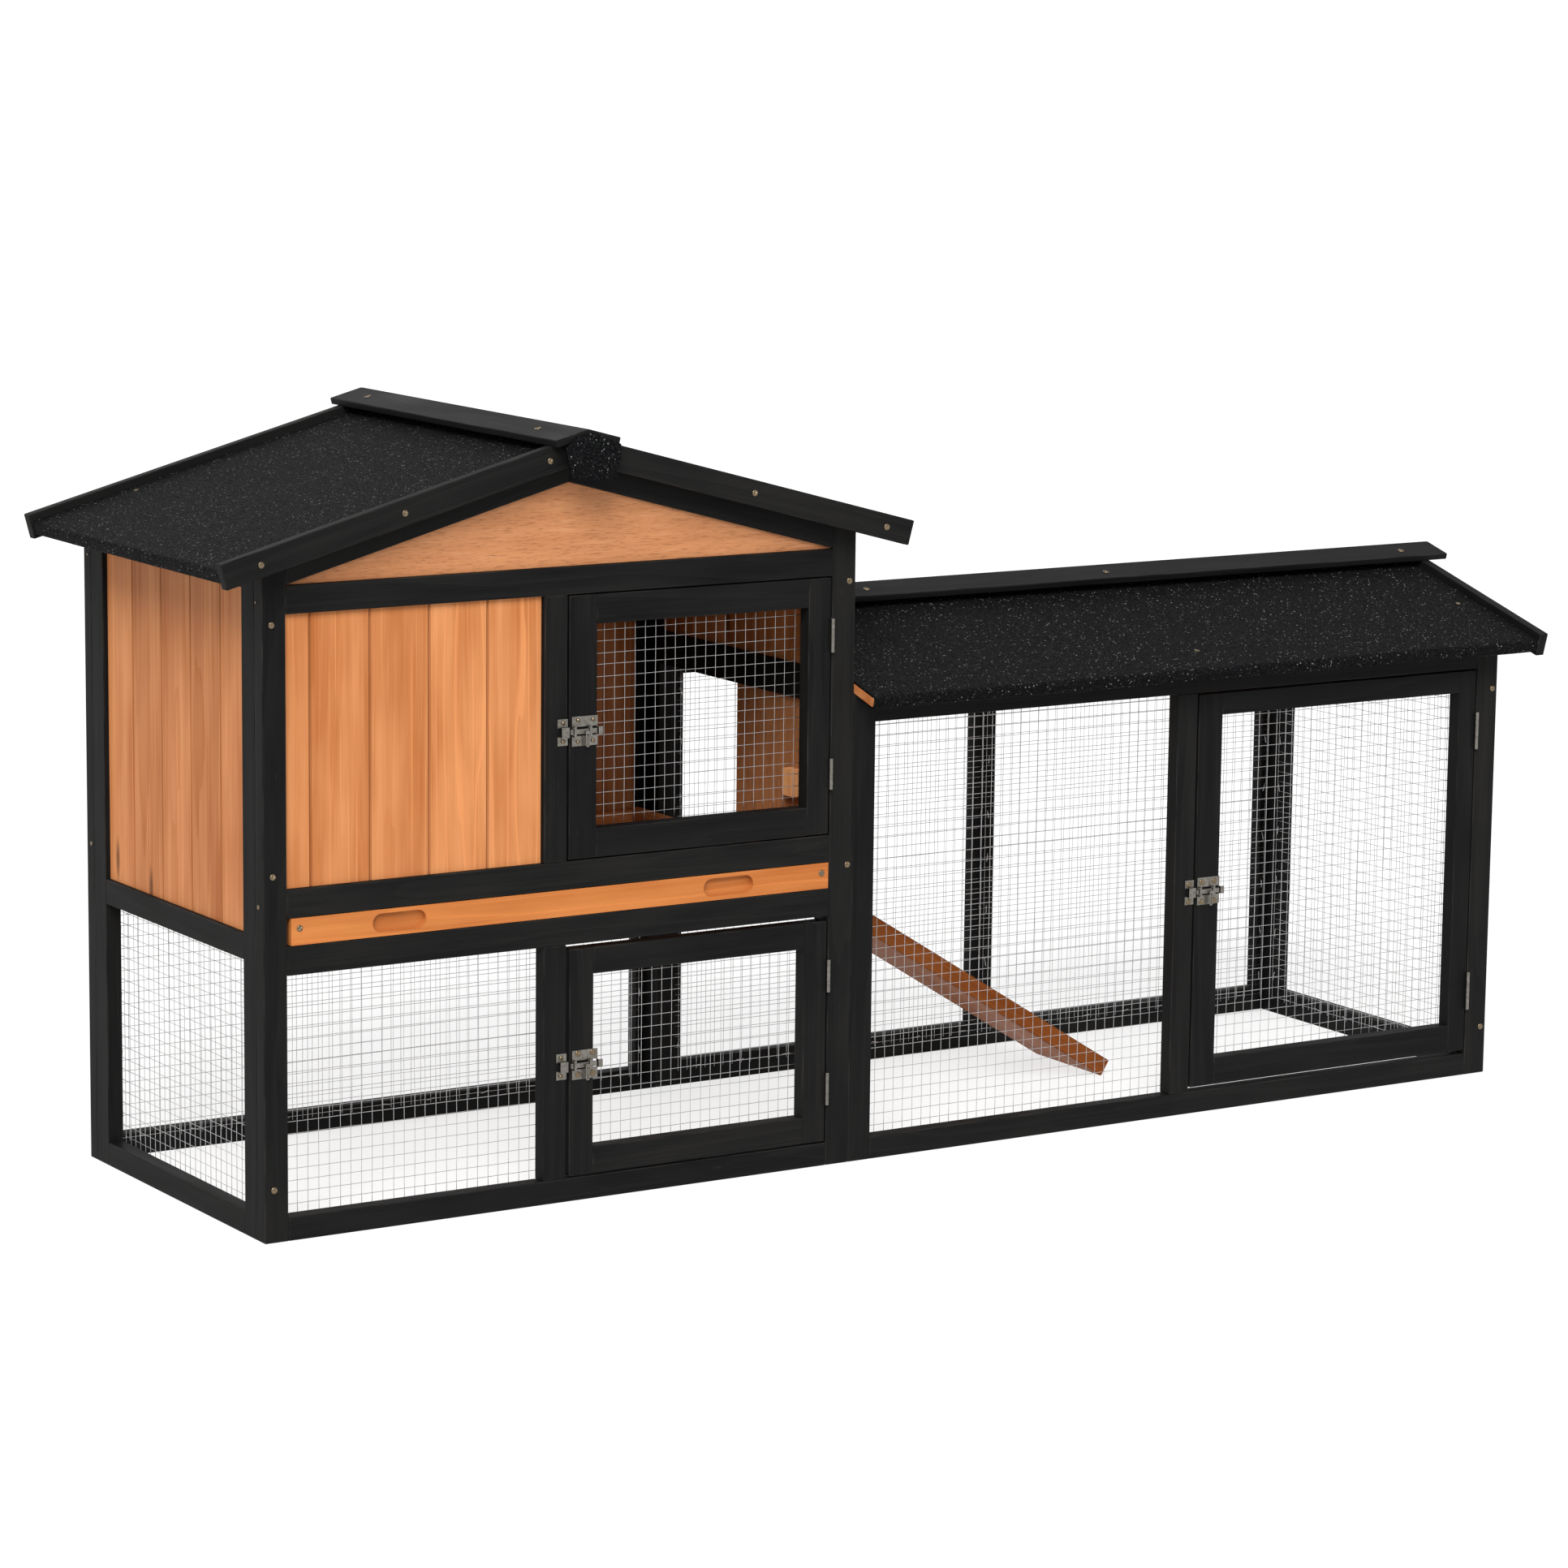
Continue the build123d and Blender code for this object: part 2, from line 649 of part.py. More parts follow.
# ---- run frames ----
def run_front_frame():
    left_edge = RUN_X0 + RUN_LEFT_STILE
    stiles = [
        block(RUN_X0, left_edge, 0, BOARD, 0, RUN_TOP_Z1),
        block(RUN_MID_X0, RUN_MID_X1, 0, BOARD, BOTTOM_RAIL_TOP, RUN_TOP_Z0),
        block(RUN_RIGHT_X0, RUN_X1, 0, BOARD, 0, RUN_TOP_Z1),
    ]
    rails = [
        block(left_edge, RUN_RIGHT_X0, 0, BOARD, 0, BOTTOM_RAIL_TOP),
        block(left_edge, RUN_RIGHT_X0, 0, BOARD, RUN_TOP_Z0, RUN_TOP_Z1),
    ]
    return stiles + rails


def run_back_frame():
    left_edge = RUN_X0 + RUN_BACK_STILE
    mid_end = RUN_BACK_MID_X0 + STICK
    stiles = [
        block(RUN_X0, left_edge, BACK, DEPTH, 0, RUN_TOP_Z1),
        block(RUN_BACK_MID_X0, mid_end, BACK, DEPTH, STICK, RUN_BACK_TOP_Z0),
        block(RUN_BACK_RIGHT_X0, RUN_X1, BACK, DEPTH, 0, RUN_TOP_Z1),
    ]
    rails = [
        block(left_edge, RUN_BACK_RIGHT_X0, BACK, DEPTH, 0, STICK),
        block(left_edge, RUN_BACK_RIGHT_X0, BACK, DEPTH, RUN_BACK_TOP_Z0, RUN_TOP_Z1),
    ]
    return stiles + rails


def run_end_frame():
    """End frame between the front and back frames."""
    inner = (BOARD + STICK, BACK - STICK)
    return [
        block(RUN_END_X0, RUN_X1, BOARD, inner[0], 0, RUN_END_TOP),
        block(RUN_END_X0, RUN_X1, inner[1], BACK, 0, RUN_END_TOP),
        block(RUN_END_X0, RUN_X1, inner[0], inner[1], 0, STICK),
        block(RUN_END_X0, RUN_X1, inner[0], inner[1], RUN_TOP_Z0, RUN_END_TOP),
    ]


def run_gable_panel():
    """Plywood infill between the end frame's top and the roof."""
    outline = [
        (BOARD, RUN_END_TOP),
        (BACK, RUN_END_TOP),
        (BACK, run_under(BACK)),
        (RUN_RIDGE_Y, RUN_UNDERSIDE),
        (BOARD, run_under(BOARD)),
    ]
    return prism_x(outline, RUN_X1 - RECESS - PLANK_T, RUN_X1 - RECESS)


# ---- wire mesh sheets ----
def house_mesh_panels():
    low = BOTTOM_RAIL_TOP - LAP
    high = UNDER_TRAY_Z + LAP
    side_high = TRAY_BASE_Z0 - RUNNER_H - MESH_GAP
    side = (BOARD + STICK - LAP, BACK - STICK + LAP)
    return [
        block(BOARD + MESH_GAP, MULLION_X0 + LAP, BOARD, BOARD + MESH_T, low, high),
        block(BOARD, BOARD + MESH_T, side[0], side[1], low, side_high),
        block(STICK - LAP, RIGHT_POST_X + LAP, BACK - MESH_T, BACK, low, high),
    ]


def run_mesh_panels():
    low = BOTTOM_RAIL_TOP - LAP
    high = RUN_TOP_Z0 + LAP
    side = (BOARD + STICK - LAP, BACK - STICK + LAP)
    back_left = RUN_X0 + RUN_BACK_STILE - LAP
    back_mid = RUN_BACK_MID_X0 + STICK / 2
    back_right = RUN_BACK_RIGHT_X0 + LAP
    return [
        block(RUN_X0 + RUN_LEFT_STILE - LAP, RUN_MID_X0 + LAP, BOARD, BOARD + MESH_T, low, high),
        block(back_left, back_mid - MESH_GAP, BACK - MESH_T, BACK, low, high),
        block(back_mid + MESH_GAP, back_right, BACK - MESH_T, BACK, low, high),
        block(RUN_END_X0 - MESH_T, RUN_END_X0, side[0], side[1], low, high),
    ]


# ---- doors ----
class Door:
    """Framed mesh door: outer edges, the opening inside it, its hinges and its latch."""

    def __init__(self, outer, opening, hinges, latch_z):
        self.x0, self.x1, self.z0, self.z1 = outer
        self.open_x0, self.open_x1, self.open_z0, self.open_z1 = opening
        self.hinges = hinges
        self.latch_z = latch_z
        self.axis_x = self.x1 + HINGE_GAP / 2


UPPER_DOOR = Door(
    (378.0, 721.0, 392.2, 689.3),
    (413.5, 691.5, 425.0, 656.0),
    ((444.4, 480.4), (603.5, 642.6)),
    537.0,
)
LOWER_DOOR = Door(
    (380.0, 721.0, 29.0, 290.0),
    (411.0, 690.5, 60.0, 259.5),
    ((72.8, 111.1), (206.7, 244.9)),
    157.0,
)
RUN_DOOR = Door(
    (1248.5, 1676.0, 32.3, 516.0),
    (1284.0, 1650.0, 66.0, 489.0),
    ((84.9, 132.8), (417.0, 463.5)),
    275.0,
)
DOORS = {"upper": UPPER_DOOR, "lower": LOWER_DOOR, "run": RUN_DOOR}


def door_frame(door):
    return [
        block(door.x0, door.open_x0, 0, BOARD, door.z0, door.z1),
        block(door.open_x1, door.x1, 0, BOARD, door.z0, door.z1),
        block(door.open_x0, door.open_x1, 0, BOARD, door.z0, door.open_z0),
        block(door.open_x0, door.open_x1, 0, BOARD, door.open_z1, door.z1),
    ]


def door_mesh(door):
    return block(
        door.open_x0 - LAP,
        door.open_x1 + LAP,
        BOARD,
        BOARD + MESH_T,
        door.open_z0 - LAP,
        door.open_z1 + LAP,
    )


# ---- hinges ----
def knuckle_spans(z0, z1):
    """Three knuckles: the outer two are the frame's, the middle one is the door's."""
    third = (z1 - z0) / 3
    outer = [(z0, z0 + third - KNUCKLE_GAP / 2), (z1 - third + KNUCKLE_GAP / 2, z1)]
    middle = [(z0 + third + KNUCKLE_GAP / 2, z1 - third - KNUCKLE_GAP / 2)]
    return outer, middle


def hinge_leaf(axis_x, plate_x0, plate_x1, z0, z1, spans):
    """Flat leaf in the gap beside the door, with its knuckles round the pin."""
    clear_y = 0.1 + KNUCKLE_R - HINGE_OUT
    leaf = block(plate_x0, plate_x1, clear_y, LEAF_DEPTH, z0, z1)
    for low, high in spans:
        middle = (axis_x, -HINGE_OUT, (low + high) / 2)
        leaf += block(plate_x0, plate_x1, -HINGE_OUT, clear_y, low, high)
        leaf += rod(middle, KNUCKLE_R, high - low, (0, 0, 1))
    bore_at = (axis_x, -HINGE_OUT, (z0 + z1) / 2)
    return leaf - rod(bore_at, PIN_R + PIN_CLEARANCE, z1 - z0 + 2, (0, 0, 1))


def frame_leaves(door):
    right = door.axis_x + HINGE_GAP / 2
    return [
        hinge_leaf(door.axis_x, right - LEAF_T, right, z0, z1, knuckle_spans(z0, z1)[0])
        for z0, z1 in door.hinges
    ]


def door_leaves(door):
    left = door.x1
    return [
        hinge_leaf(door.axis_x, left, left + LEAF_T, z0, z1, knuckle_spans(z0, z1)[1])
        for z0, z1 in door.hinges
    ]


def door_pins(door):
    return [
        rod((door.axis_x, -HINGE_OUT, (z0 + z1) / 2), PIN_R, z1 - z0, (0, 0, 1))
        for z0, z1 in door.hinges
    ]


# ---- latches ----
def strap(x0, x1, z):
    """Raised strap that a bolt passes under."""
    outer = block(x0, x1, -STRAP_OUT, 0, z - STRAP_HALF, z + STRAP_HALF)
    inner_half = STRAP_HALF - SHEET
    return outer - block(x0 - 1, x1 + 1, -STRAP_OUT + SHEET, -SHEET, z - inner_half, z + inner_half)


def latch_screws(places):
    return [
        screw_head((x, -SHEET, z), (0, -1, 0), LATCH_SCREW_R, LATCH_SCREW_H)
        for x, z in places
    ]


def latch_plate(door):
    """Slotted plate with two straps and an end lip, and its four screws."""
    x0 = door.x0 + PLATE_INSET
    z = door.latch_z
    plate = block(x0, x0 + PLATE_W, -SHEET, 0, z - PLATE_HALF, z + PLATE_HALF)
    slot_half = STRAP_HALF - SHEET
    plate -= block(x0 + PLATE_SLOT[0], x0 + PLATE_SLOT[1], -SHEET, 0, z - slot_half, z + slot_half)
    lip_x0 = x0 + PLATE_W - SHEET
    lip_heights = (z - PLATE_LIP_HALF, z + PLATE_LIP_HALF)
    plate += block(lip_x0, lip_x0 + SHEET, -PLATE_LIP_OUT, 0, *lip_heights)
    plate += block(lip_x0, lip_x0 + SHEET + PLATE_LIP, -PLATE_LIP_OUT, SHEET - PLATE_LIP_OUT, *lip_heights)
    for place in STRAP_PLACES:
        plate += strap(x0 + place, x0 + place + STRAP_W, z)
    across, up = PLATE_SCREWS
    return [plate] + latch_screws([(x0 + x, z + side * up) for x in across for side in (-1, 1)])


def latch_bolt(door):
    """Flat bolt with a hanging wire loop to pull it by."""
    x0 = door.x0 + PLATE_INSET
    z = door.latch_z
    near = -SHEET - BOLT_SLACK
    far = near - BOLT_T
    heights = (z - BOLT_HALF, z + BOLT_HALF)
    bolt = block(x0 - BOLT_TIP, x0 + BOLT_END, far, near, *heights)
    left, right = [x0 + leg for leg in LOOP_LEGS]
    side = LOOP_WIRE + 0.4  # the lug's wall outside the wire
    loop_y = far - 1.6
    loop_top = z - 1.0
    lug = block(left - side, right + side, loop_y - side, far, z - 3.0, z + 1.0)
    loop_points = [
        (left, loop_y, loop_top),
        (left, loop_y, z - LOOP_DROP),
        (right, loop_y, z - LOOP_DROP),
        (right, loop_y, loop_top),
    ]
    path = FilletPolyline(loop_points, radius=LOOP_BEND)
    section = Plane(origin=loop_points[0], z_dir=(0, 0, -1)) * Circle(LOOP_WIRE)
    return bolt + lug + sweep(section, path)


def latch_keeper(door, post_edge):
    """Keeper with two screw tabs and a bridge that the bolt slides under."""
    z = door.latch_z
    low_x = post_edge - KEEPER_TAB_W
    plate = block(low_x, post_edge, -SHEET, 0, z - KEEPER_HALF, z + KEEPER_HALF)
    bridge_x0 = post_edge - KEEPER_BRIDGE_W
    plate += block(bridge_x0, post_edge, -STRAP_OUT, -SHEET, z - STRAP_HALF, z + STRAP_HALF)
    inner_half = STRAP_HALF - SHEET
    plate -= block(low_x - 1, post_edge + 1, -STRAP_OUT + SHEET, 1, z - inner_half, z + inner_half)
    middle = post_edge - KEEPER_TAB_W / 2
    return plate.solids() + latch_screws([(middle, z + side * KEEPER_SCREW_UP) for side in (-1, 1)])


def latch_keepers():
    keepers = []
    keepers += latch_keeper(UPPER_DOOR, MULLION_X1)
    keepers += latch_keeper(LOWER_DOOR, MULLION_X1)
    keepers += latch_keeper(RUN_DOOR, RUN_MID_X1)
    return keepers


# ---- ramp ----
def ramp_point(along, up):
    """Place on the ramp: distance down the slope and above the hinge axis, square to it."""
    x = RAMP_AXIS_X + along * math.cos(SLOPE) + up * math.sin(SLOPE)
    z = RAMP_AXIS_Z - along * math.sin(SLOPE) + up * math.cos(SLOPE)
    return x, z


def ramp_head(up):
    """Distance down the slope to the ramp's plumb-cut head, this far above the axis."""
    head_x = ramp_point(RAMP_END_GAP, RAMP_TOP)[0]
    return (head_x - RAMP_AXIS_X - up * math.sin(SLOPE)) / math.cos(SLOPE)


def ramp_strip(y0, y1, low, high, start, end):
    """Long or cross piece of the ramp, square to the slope at both ends."""
    corners = [(end, low), (end, high), (start, high), (start, low)]
    return prism_y([ramp_point(along, up) for along, up in corners], y0, y1)


def ramp_head_strip(y0, y1, low, high, end):
    """Piece of the ramp that starts at its plumb-cut head."""
    corners = [(end, low), (end, high), (ramp_head(high), high), (ramp_head(low), low)]
    return prism_y([ramp_point(along, up) for along, up in corners], y0, y1)


def ramp_side_rails():
    low = RAMP_TOP - RAMP_DEPTH
    return [
        ramp_head_strip(RAMP_Y0, RAMP_Y0 + RAMP_RAIL_W, low, RAMP_TOP, RAMP_LENGTH),
        ramp_head_strip(RAMP_Y1 - RAMP_RAIL_W, RAMP_Y1, low, RAMP_TOP, RAMP_LENGTH),
    ]


def ramp_board():
    low = RAMP_TOP - RAMP_DEPTH
    inner = (RAMP_Y0 + RAMP_RAIL_W, RAMP_Y1 - RAMP_RAIL_W)
    return ramp_head_strip(*inner, low, low + RAMP_BOARD_T, RAMP_LENGTH)


def ramp_cleats():
    """Head batten that carries the hinges, then cleats at an even pitch."""
    inner = (RAMP_Y0 + RAMP_RAIL_W, RAMP_Y1 - RAMP_RAIL_W)
    low = RAMP_TOP - RAMP_DEPTH + RAMP_BOARD_T
    cleats = [ramp_head_strip(*inner, low, RAMP_TOP, HEAD_BATTEN_END)]
    for index in range(CLEAT_COUNT):
        start = CLEAT_FIRST + CLEAT_PITCH * index
        cleats.append(ramp_strip(*inner, low, low + CLEAT_H, start, start + CLEAT_W))
    return cleats


def ramp_leaf(y0, y1, plate, spans):
    """Ramp hinge leaf: a plate and its knuckles round a pin that runs along Y."""
    leaf = plate
    for low, high in spans:
        leaf += rod((RAMP_AXIS_X, (low + high) / 2, RAMP_AXIS_Z), KNUCKLE_R, high - low, (0, 1, 0))
    bore = rod((RAMP_AXIS_X, (y0 + y1) / 2, RAMP_AXIS_Z), PIN_R + PIN_CLEARANCE, y1 - y0 + 2, (0, 1, 0))
    return leaf - bore


def ramp_frame_leaves():
    """Leaves on the doorway sill's outer face, below the hinge axis."""
    leaves = []
    reach = RAMP_AXIS_Z - KNUCKLE_R - 0.1
    for y0, y1 in RAMP_HINGES:
        outer = knuckle_spans(y0, y1)[0]
        plate = block(HOUSE_W, HOUSE_W + LEAF_T, y0, y1, RAMP_LEAF_LOW, reach)
        for low, high in outer:
            plate += block(HOUSE_W, HOUSE_W + LEAF_T, low, high, reach, RAMP_AXIS_Z)
        leaves.append(ramp_leaf(y0, y1, plate, outer))
    return leaves


def ramp_hinge_leaves():
    """Leaves on the head batten's top, level with the top of the knuckles."""
    leaves = []
    high = RAMP_TOP + LEAF_T
    for y0, y1 in RAMP_HINGES:
        middle = knuckle_spans(y0, y1)[1]
        plate = ramp_strip(y0, y1, RAMP_TOP, high, RAMP_END_GAP, RAMP_LEAF_LENGTH)
        plate += ramp_strip(*middle[0], RAMP_TOP, high, 0.0, RAMP_END_GAP)
        leaves.append(ramp_leaf(y0, y1, plate, middle))
    return leaves


def ramp_pins():
    return [
        rod((RAMP_AXIS_X, (y0 + y1) / 2, RAMP_AXIS_Z), PIN_R, y1 - y0, (0, 1, 0))
        for y0, y1 in RAMP_HINGES
    ]


# ---- screws ----
def frame_screws():
    """Screws and small nails in the posts."""
    heads = [screw_head((x, 0, z), (0, -1, 0)) for x, z in FRONT_SCREWS]
    heads += [screw_head((x, DEPTH, z), (0, 1, 0)) for x, z in FRONT_SCREWS]
    heads += [screw_head((0, y, z), (-1, 0, 0), 2.0, 0.9) for y, z in SIDE_NAILS]
    return heads


def house_slope_head(x, y, apex, *size):
    """Head on a surface that slopes both ways from the house's ridge."""
    side = 1 if x > RIDGE_X else -1
    angle = math.radians(HOUSE_PITCH)
    normal = (side * math.sin(angle), 0, math.cos(angle))
    return screw_head((x, y, apex - HOUSE_TAN * abs(x - RIDGE_X)), normal, *size)


def run_slope_head(x, y, apex, *size):
    """Head on a surface that slopes both ways from the run's ridge."""
    side = 1 if y > RUN_RIDGE_Y else -1
    angle = math.radians(RUN_PITCH)
    normal = (0, side * math.sin(angle), math.cos(angle))
    return screw_head((x, y, apex - RUN_TAN * abs(y - RUN_RIDGE_Y)), normal, *size)


def barge_screws():
    heads = []
    front = -ROOF_OVERHANG - BARGE_T
    for x in BARGE_SCREWS_X:
        z = HOUSE_BARGE_APEX - HOUSE_TAN * abs(x - RIDGE_X) - BARGE_W / 2
        heads.append(screw_head((x, front, z), (0, -1, 0)))
        heads.append(screw_head((x, DEPTH - front, z), (0, 1, 0)))
    return heads


def cap_screws():
    house_top = HOUSE_BARGE_APEX + house_lift(CAP_T)
    run_top = RUN_BARGE_APEX + run_lift(CAP_T)
    heads = []
    for reach in (-CAP_SCREW_REACH, CAP_SCREW_REACH):
        heads += [house_slope_head(RIDGE_X + reach, y, house_top) for y in HOUSE_CAP_SCREWS_Y]
        heads += [run_slope_head(x, RUN_RIDGE_Y + reach, run_top) for x in RUN_CAP_SCREWS_X]
    return heads


def felt_nails():
    """A few broad nails through the felt."""
    size = (2.6, 0.9)
    heads = []
    for side in (-1, 1):
        for x, reach in RUN_FELT_NAILS:
            heads.append(run_slope_head(x, RUN_RIDGE_Y + side * reach, RUN_ROOF_TOP, *size))
        for reach, y in HOUSE_FELT_NAILS:
            heads.append(house_slope_head(RIDGE_X + side * reach, y, HOUSE_ROOF_TOP, *size))
    return heads


# ---- write every sub-part ----
os.makedirs("parts", exist_ok=True)

save("house_front_posts", house_posts(0, BOARD, LEFT_POST))
save("house_front_rails", house_front_rails())
save("house_front_mullions", house_front_mullions())
save(
    "house_gable_rafters",
    gable_rafters(LEFT_POST, RIGHT_POST_X, 0, BOARD) + gable_rafters(STICK, RIGHT_POST_X, BACK, DEPTH),
)
save(
    "house_gable_panels",
    [
        gable_panel(LEFT_POST, RIGHT_POST_X, RECESS),
        gable_panel(STICK, RIGHT_POST_X, DEPTH - RECESS - PLY_T),
    ],
)
save("house_left_frame", house_left_frame())
save("house_right_frame", house_right_frame())
save("house_back_frame", house_back_frame())
save("front_plank_wall", front_plank_wall())
save("left_plank_wall", left_plank_wall())
save("back_plank_wall", back_plank_wall())
save("right_plank_wall", right_plank_wall())
save("house_mesh_panels", house_mesh_panels())

save("ramp_wall_panel", ramp_wall_panel())
save("ramp_door_panel", ramp_door_panel())
save("ramp_door_pull", ramp_door_pull())

save("tray_front", tray_front())
save("tray_base", tray_base())
save("tray_battens", tray_battens())
save("tray_screws", tray_screws())
save("tray_runners", tray_runners())

save("house_roof_boards", house_roof_boards())
save("house_roof_felt", house_roof_felt())
save("house_barge_boards", house_barge_boards())
save("house_ridge_cap", house_ridge_cap())
save("ridge_end_flap", ridge_end_flap())

save("run_front_frame", run_front_frame())
save("run_back_frame", run_back_frame())
save("run_end_frame", run_end_frame())
save("run_gable_panel", run_gable_panel())
save("run_mesh_panels", run_mesh_panels())
save("run_roof_boards", run_roof_boards())
save("run_roof_felt", run_roof_felt())
save("run_barge_boards", run_barge_boards())
save("run_ridge_cap", run_ridge_cap())

for door_name, door in DOORS.items():
    save(door_name + "_door_frame", door_frame(door))
    save(door_name + "_door_mesh", door_mesh(door))
    save(door_name + "_door_hinge_leaves", door_leaves(door))
    save(door_name + "_latch_plate", latch_plate(door))
    save(door_name + "_latch_bolt", latch_bolt(door))

save("latch_keepers", latch_keepers())
all_frame_leaves = [leaf for door in DOORS.values() for leaf in frame_leaves(door)]
save("hinge_frame_leaves", all_frame_leaves + ramp_frame_leaves())
all_pins = [pin for door in DOORS.values() for pin in door_pins(door)]
save("hinge_pins", all_pins + ramp_pins())

save("ramp_board", ramp_board())
save("ramp_side_rails", ramp_side_rails())
save("ramp_cleats", ramp_cleats())
save("ramp_hinge_leaves", ramp_hinge_leaves())

save("frame_screws", frame_screws())
save("roof_screws", barge_screws() + cap_screws() + felt_nails())
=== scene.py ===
import json
import math
import random

import bmesh
import bpy
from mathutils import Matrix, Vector, noise

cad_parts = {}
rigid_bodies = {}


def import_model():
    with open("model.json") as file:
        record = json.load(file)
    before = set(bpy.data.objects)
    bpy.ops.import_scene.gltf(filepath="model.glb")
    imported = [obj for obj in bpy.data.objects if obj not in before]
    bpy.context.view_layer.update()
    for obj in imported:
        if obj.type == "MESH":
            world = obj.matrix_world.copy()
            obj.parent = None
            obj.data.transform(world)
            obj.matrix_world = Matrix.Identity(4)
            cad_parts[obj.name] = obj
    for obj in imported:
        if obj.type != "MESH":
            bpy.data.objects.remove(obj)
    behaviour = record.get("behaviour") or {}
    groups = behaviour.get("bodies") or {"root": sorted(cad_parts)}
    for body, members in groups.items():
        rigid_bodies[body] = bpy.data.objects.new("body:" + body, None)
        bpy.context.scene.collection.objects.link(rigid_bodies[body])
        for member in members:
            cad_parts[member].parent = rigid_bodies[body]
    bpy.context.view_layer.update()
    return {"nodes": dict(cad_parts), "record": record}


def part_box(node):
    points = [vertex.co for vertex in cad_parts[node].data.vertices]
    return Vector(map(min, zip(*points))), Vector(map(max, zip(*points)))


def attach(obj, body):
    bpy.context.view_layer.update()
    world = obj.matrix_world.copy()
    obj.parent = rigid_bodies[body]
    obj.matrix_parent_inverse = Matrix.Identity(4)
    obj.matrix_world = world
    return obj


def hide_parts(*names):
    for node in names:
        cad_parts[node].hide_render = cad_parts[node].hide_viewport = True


# Two-storey rabbit hutch with a mesh run. Metres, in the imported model's frame.

# ---- camera ----
CAMERA_PLACE = (-3.2531, -5.0909, 1.4454)
CAMERA_TURN = (80.2178, -0.6545, -32.0266)  # degrees about X, Y and Z
CAMERA_LENS = 117.15
CAMERA_REACH = 900.0  # far clip
SENSOR = 36.0

# ---- mesh copies ----
WELD = 1e-5  # corners closer than this are one corner
FLAT = math.radians(1.0)
SHARP = math.radians(30.0)
GENTLE = math.radians(50.0)  # edges of soft pieces below this shade smoothly

# ---- timber ----
STICK_EDGE = 0.0011
EDGE_SHADE_AND_WEAR = 0.5  # share of painted shade that a rounded edge takes in golden fir, and of worn colour in black fir
JOINT_SHADE = 0.6  # the same share of painted shade for the chamfer beside a plank's joint
SLANTED = (0.3, 0.95)  # a chamfer's normal lies this much along the plank's thickness
PLANK_EDGE = 0.0004
RINGS_GOLDEN = 0.0062  # width of one year's growth
RINGS_BLACK = 0.0060
RING_WARP = 0.026  # broad and fine waves move the rings this far
RING_DRIFT = 0.004
GRAIN_START = 40.0  # sticks are cut from anywhere along this length of tree
PITH_SIDE = 0.02  # distances from the tree's pith to the stick's middle
PITH_DEPTH = (0.025, 0.07)
LEAN_SIDE = 0.006  # how far the pith leans over each metre of stick
LEAN_DEPTH = 0.014
PLANK_NODES = (
    "front_plank_wall",
    "left_plank_wall",
    "back_plank_wall",
    "right_plank_wall",
    "house_gable_panels",
    "run_gable_panel",
    "ramp_wall_panel",
    "ramp_door_panel",
    "tray_base",
)

# ---- welded mesh ----
WIRE_PITCH = 0.0132
WIRE_R = 0.00034
WIRE_LAYER = 0.0003  # each layer of wires this far from the sheet's middle
WIRE_SIDES = 6
WIRE_SWAY = 0.00035
SHEET_BULGE = 0.0016
BULGE_WAVES = 7.0  # waves of the noise per metre, here and below
SWAY_WAVES = (18.0, 90.0)  # along a wire, and from one wire to the next
STAPLE_PITCH = 0.066
STAPLE_WIDTH = 0.010
STAPLE_R = 0.0006
STAPLE_INSET = 0.0045
STAPLE_LEG = 0.004
STAPLE_CROWN = 0.0007  # the staple's shoulders lie this far behind its crown
STAPLE_SHOULDER = 0.86  # half the crown's flat length, as a share of half the width
STAPLE_SHIFT = 0.006  # uneven hand spacing and tilt
STAPLE_TILT = 0.0012
STAPLE_LINE = (
    (-1, STAPLE_LEG),
    (-1, STAPLE_CROWN),
    (-STAPLE_SHOULDER, 0.0),
    (STAPLE_SHOULDER, 0.0),
    (1, STAPLE_CROWN),
    (1, STAPLE_LEG),
)

# ---- roofing felt ----
HOUSE_PITCH = math.radians(15.0)
RUN_PITCH = math.radians(15.5)
BOARD_T = 0.010
FELT_T = 0.0025
FELT_TUCK = 0.022
FELT_FOLD = 0.0028  # radius of the felt's middle line at the eave
FELT_LIFT = 0.0011  # the felt lies up to this far off its boards
FELT_STEP = 0.012
FOLD_STEPS = 6  # points round each quarter turn of the fold
TUCK_STEPS = 3
FELT_BROAD = (6.0, 9.0)  # waves per metre along the ridge and down the slope
FELT_FINE = 34.0
FLAP_EDGE = 0.0007
FLAP_WAVES = 60.0
FLAP_HANG = 0.0005  # the flap's lower end hangs this far forward
FLAP_WAVE = 0.0006

# ---- hardware ----
METAL_EDGE = 0.00018
SCREW_SPAN = 0.0075  # a solid no larger than this is a screw head
HEAD_SIDES = 32
HEAD_RINGS = 9
HEAD_FALL = 0.86  # the dome falls this share of its squared height towards the rim
HEAD_ARM = 0.15  # half width and length of the recess's arms, as shares of the radius
HEAD_ARM_LENGTH = 0.56
HEAD_RECESS = 0.55  # depth of the recess, as a share of the height

# ---- colours ----
GOLDEN_STAIN = ((0.500, 0.203, 0.076), (0.330, 0.101, 0.026), (0.165, 0.050, 0.014))  # each stain: pale, deep, then the painted shade for grooves and rounded edges
TRAY_STAIN = ((0.43, 0.148, 0.040), (0.30, 0.082, 0.018), (0.17, 0.046, 0.011))
# the golden fir painted darker throughout as painted shade for the ramp, which stands in the run's shadow
RAMP_PAINTED_SHADE = ((0.215, 0.061, 0.011), (0.140, 0.033, 0.005), (0.088, 0.021, 0.003))
PULL_STAIN = ((0.78, 0.38, 0.16), (0.60, 0.25, 0.09), (0.36, 0.14, 0.05))
GOLDEN_TINT = ((0.84, 0.80, 0.76), (1.08, 1.11, 1.14))  # from the darkest stick to the palest
BLACK_TINT = ((0.82, 0.83, 0.85), (1.16, 1.14, 1.12))
BLACK_STAIN = ((0.0032, 0.0033, 0.0036), (0.0100, 0.0097, 0.0093))
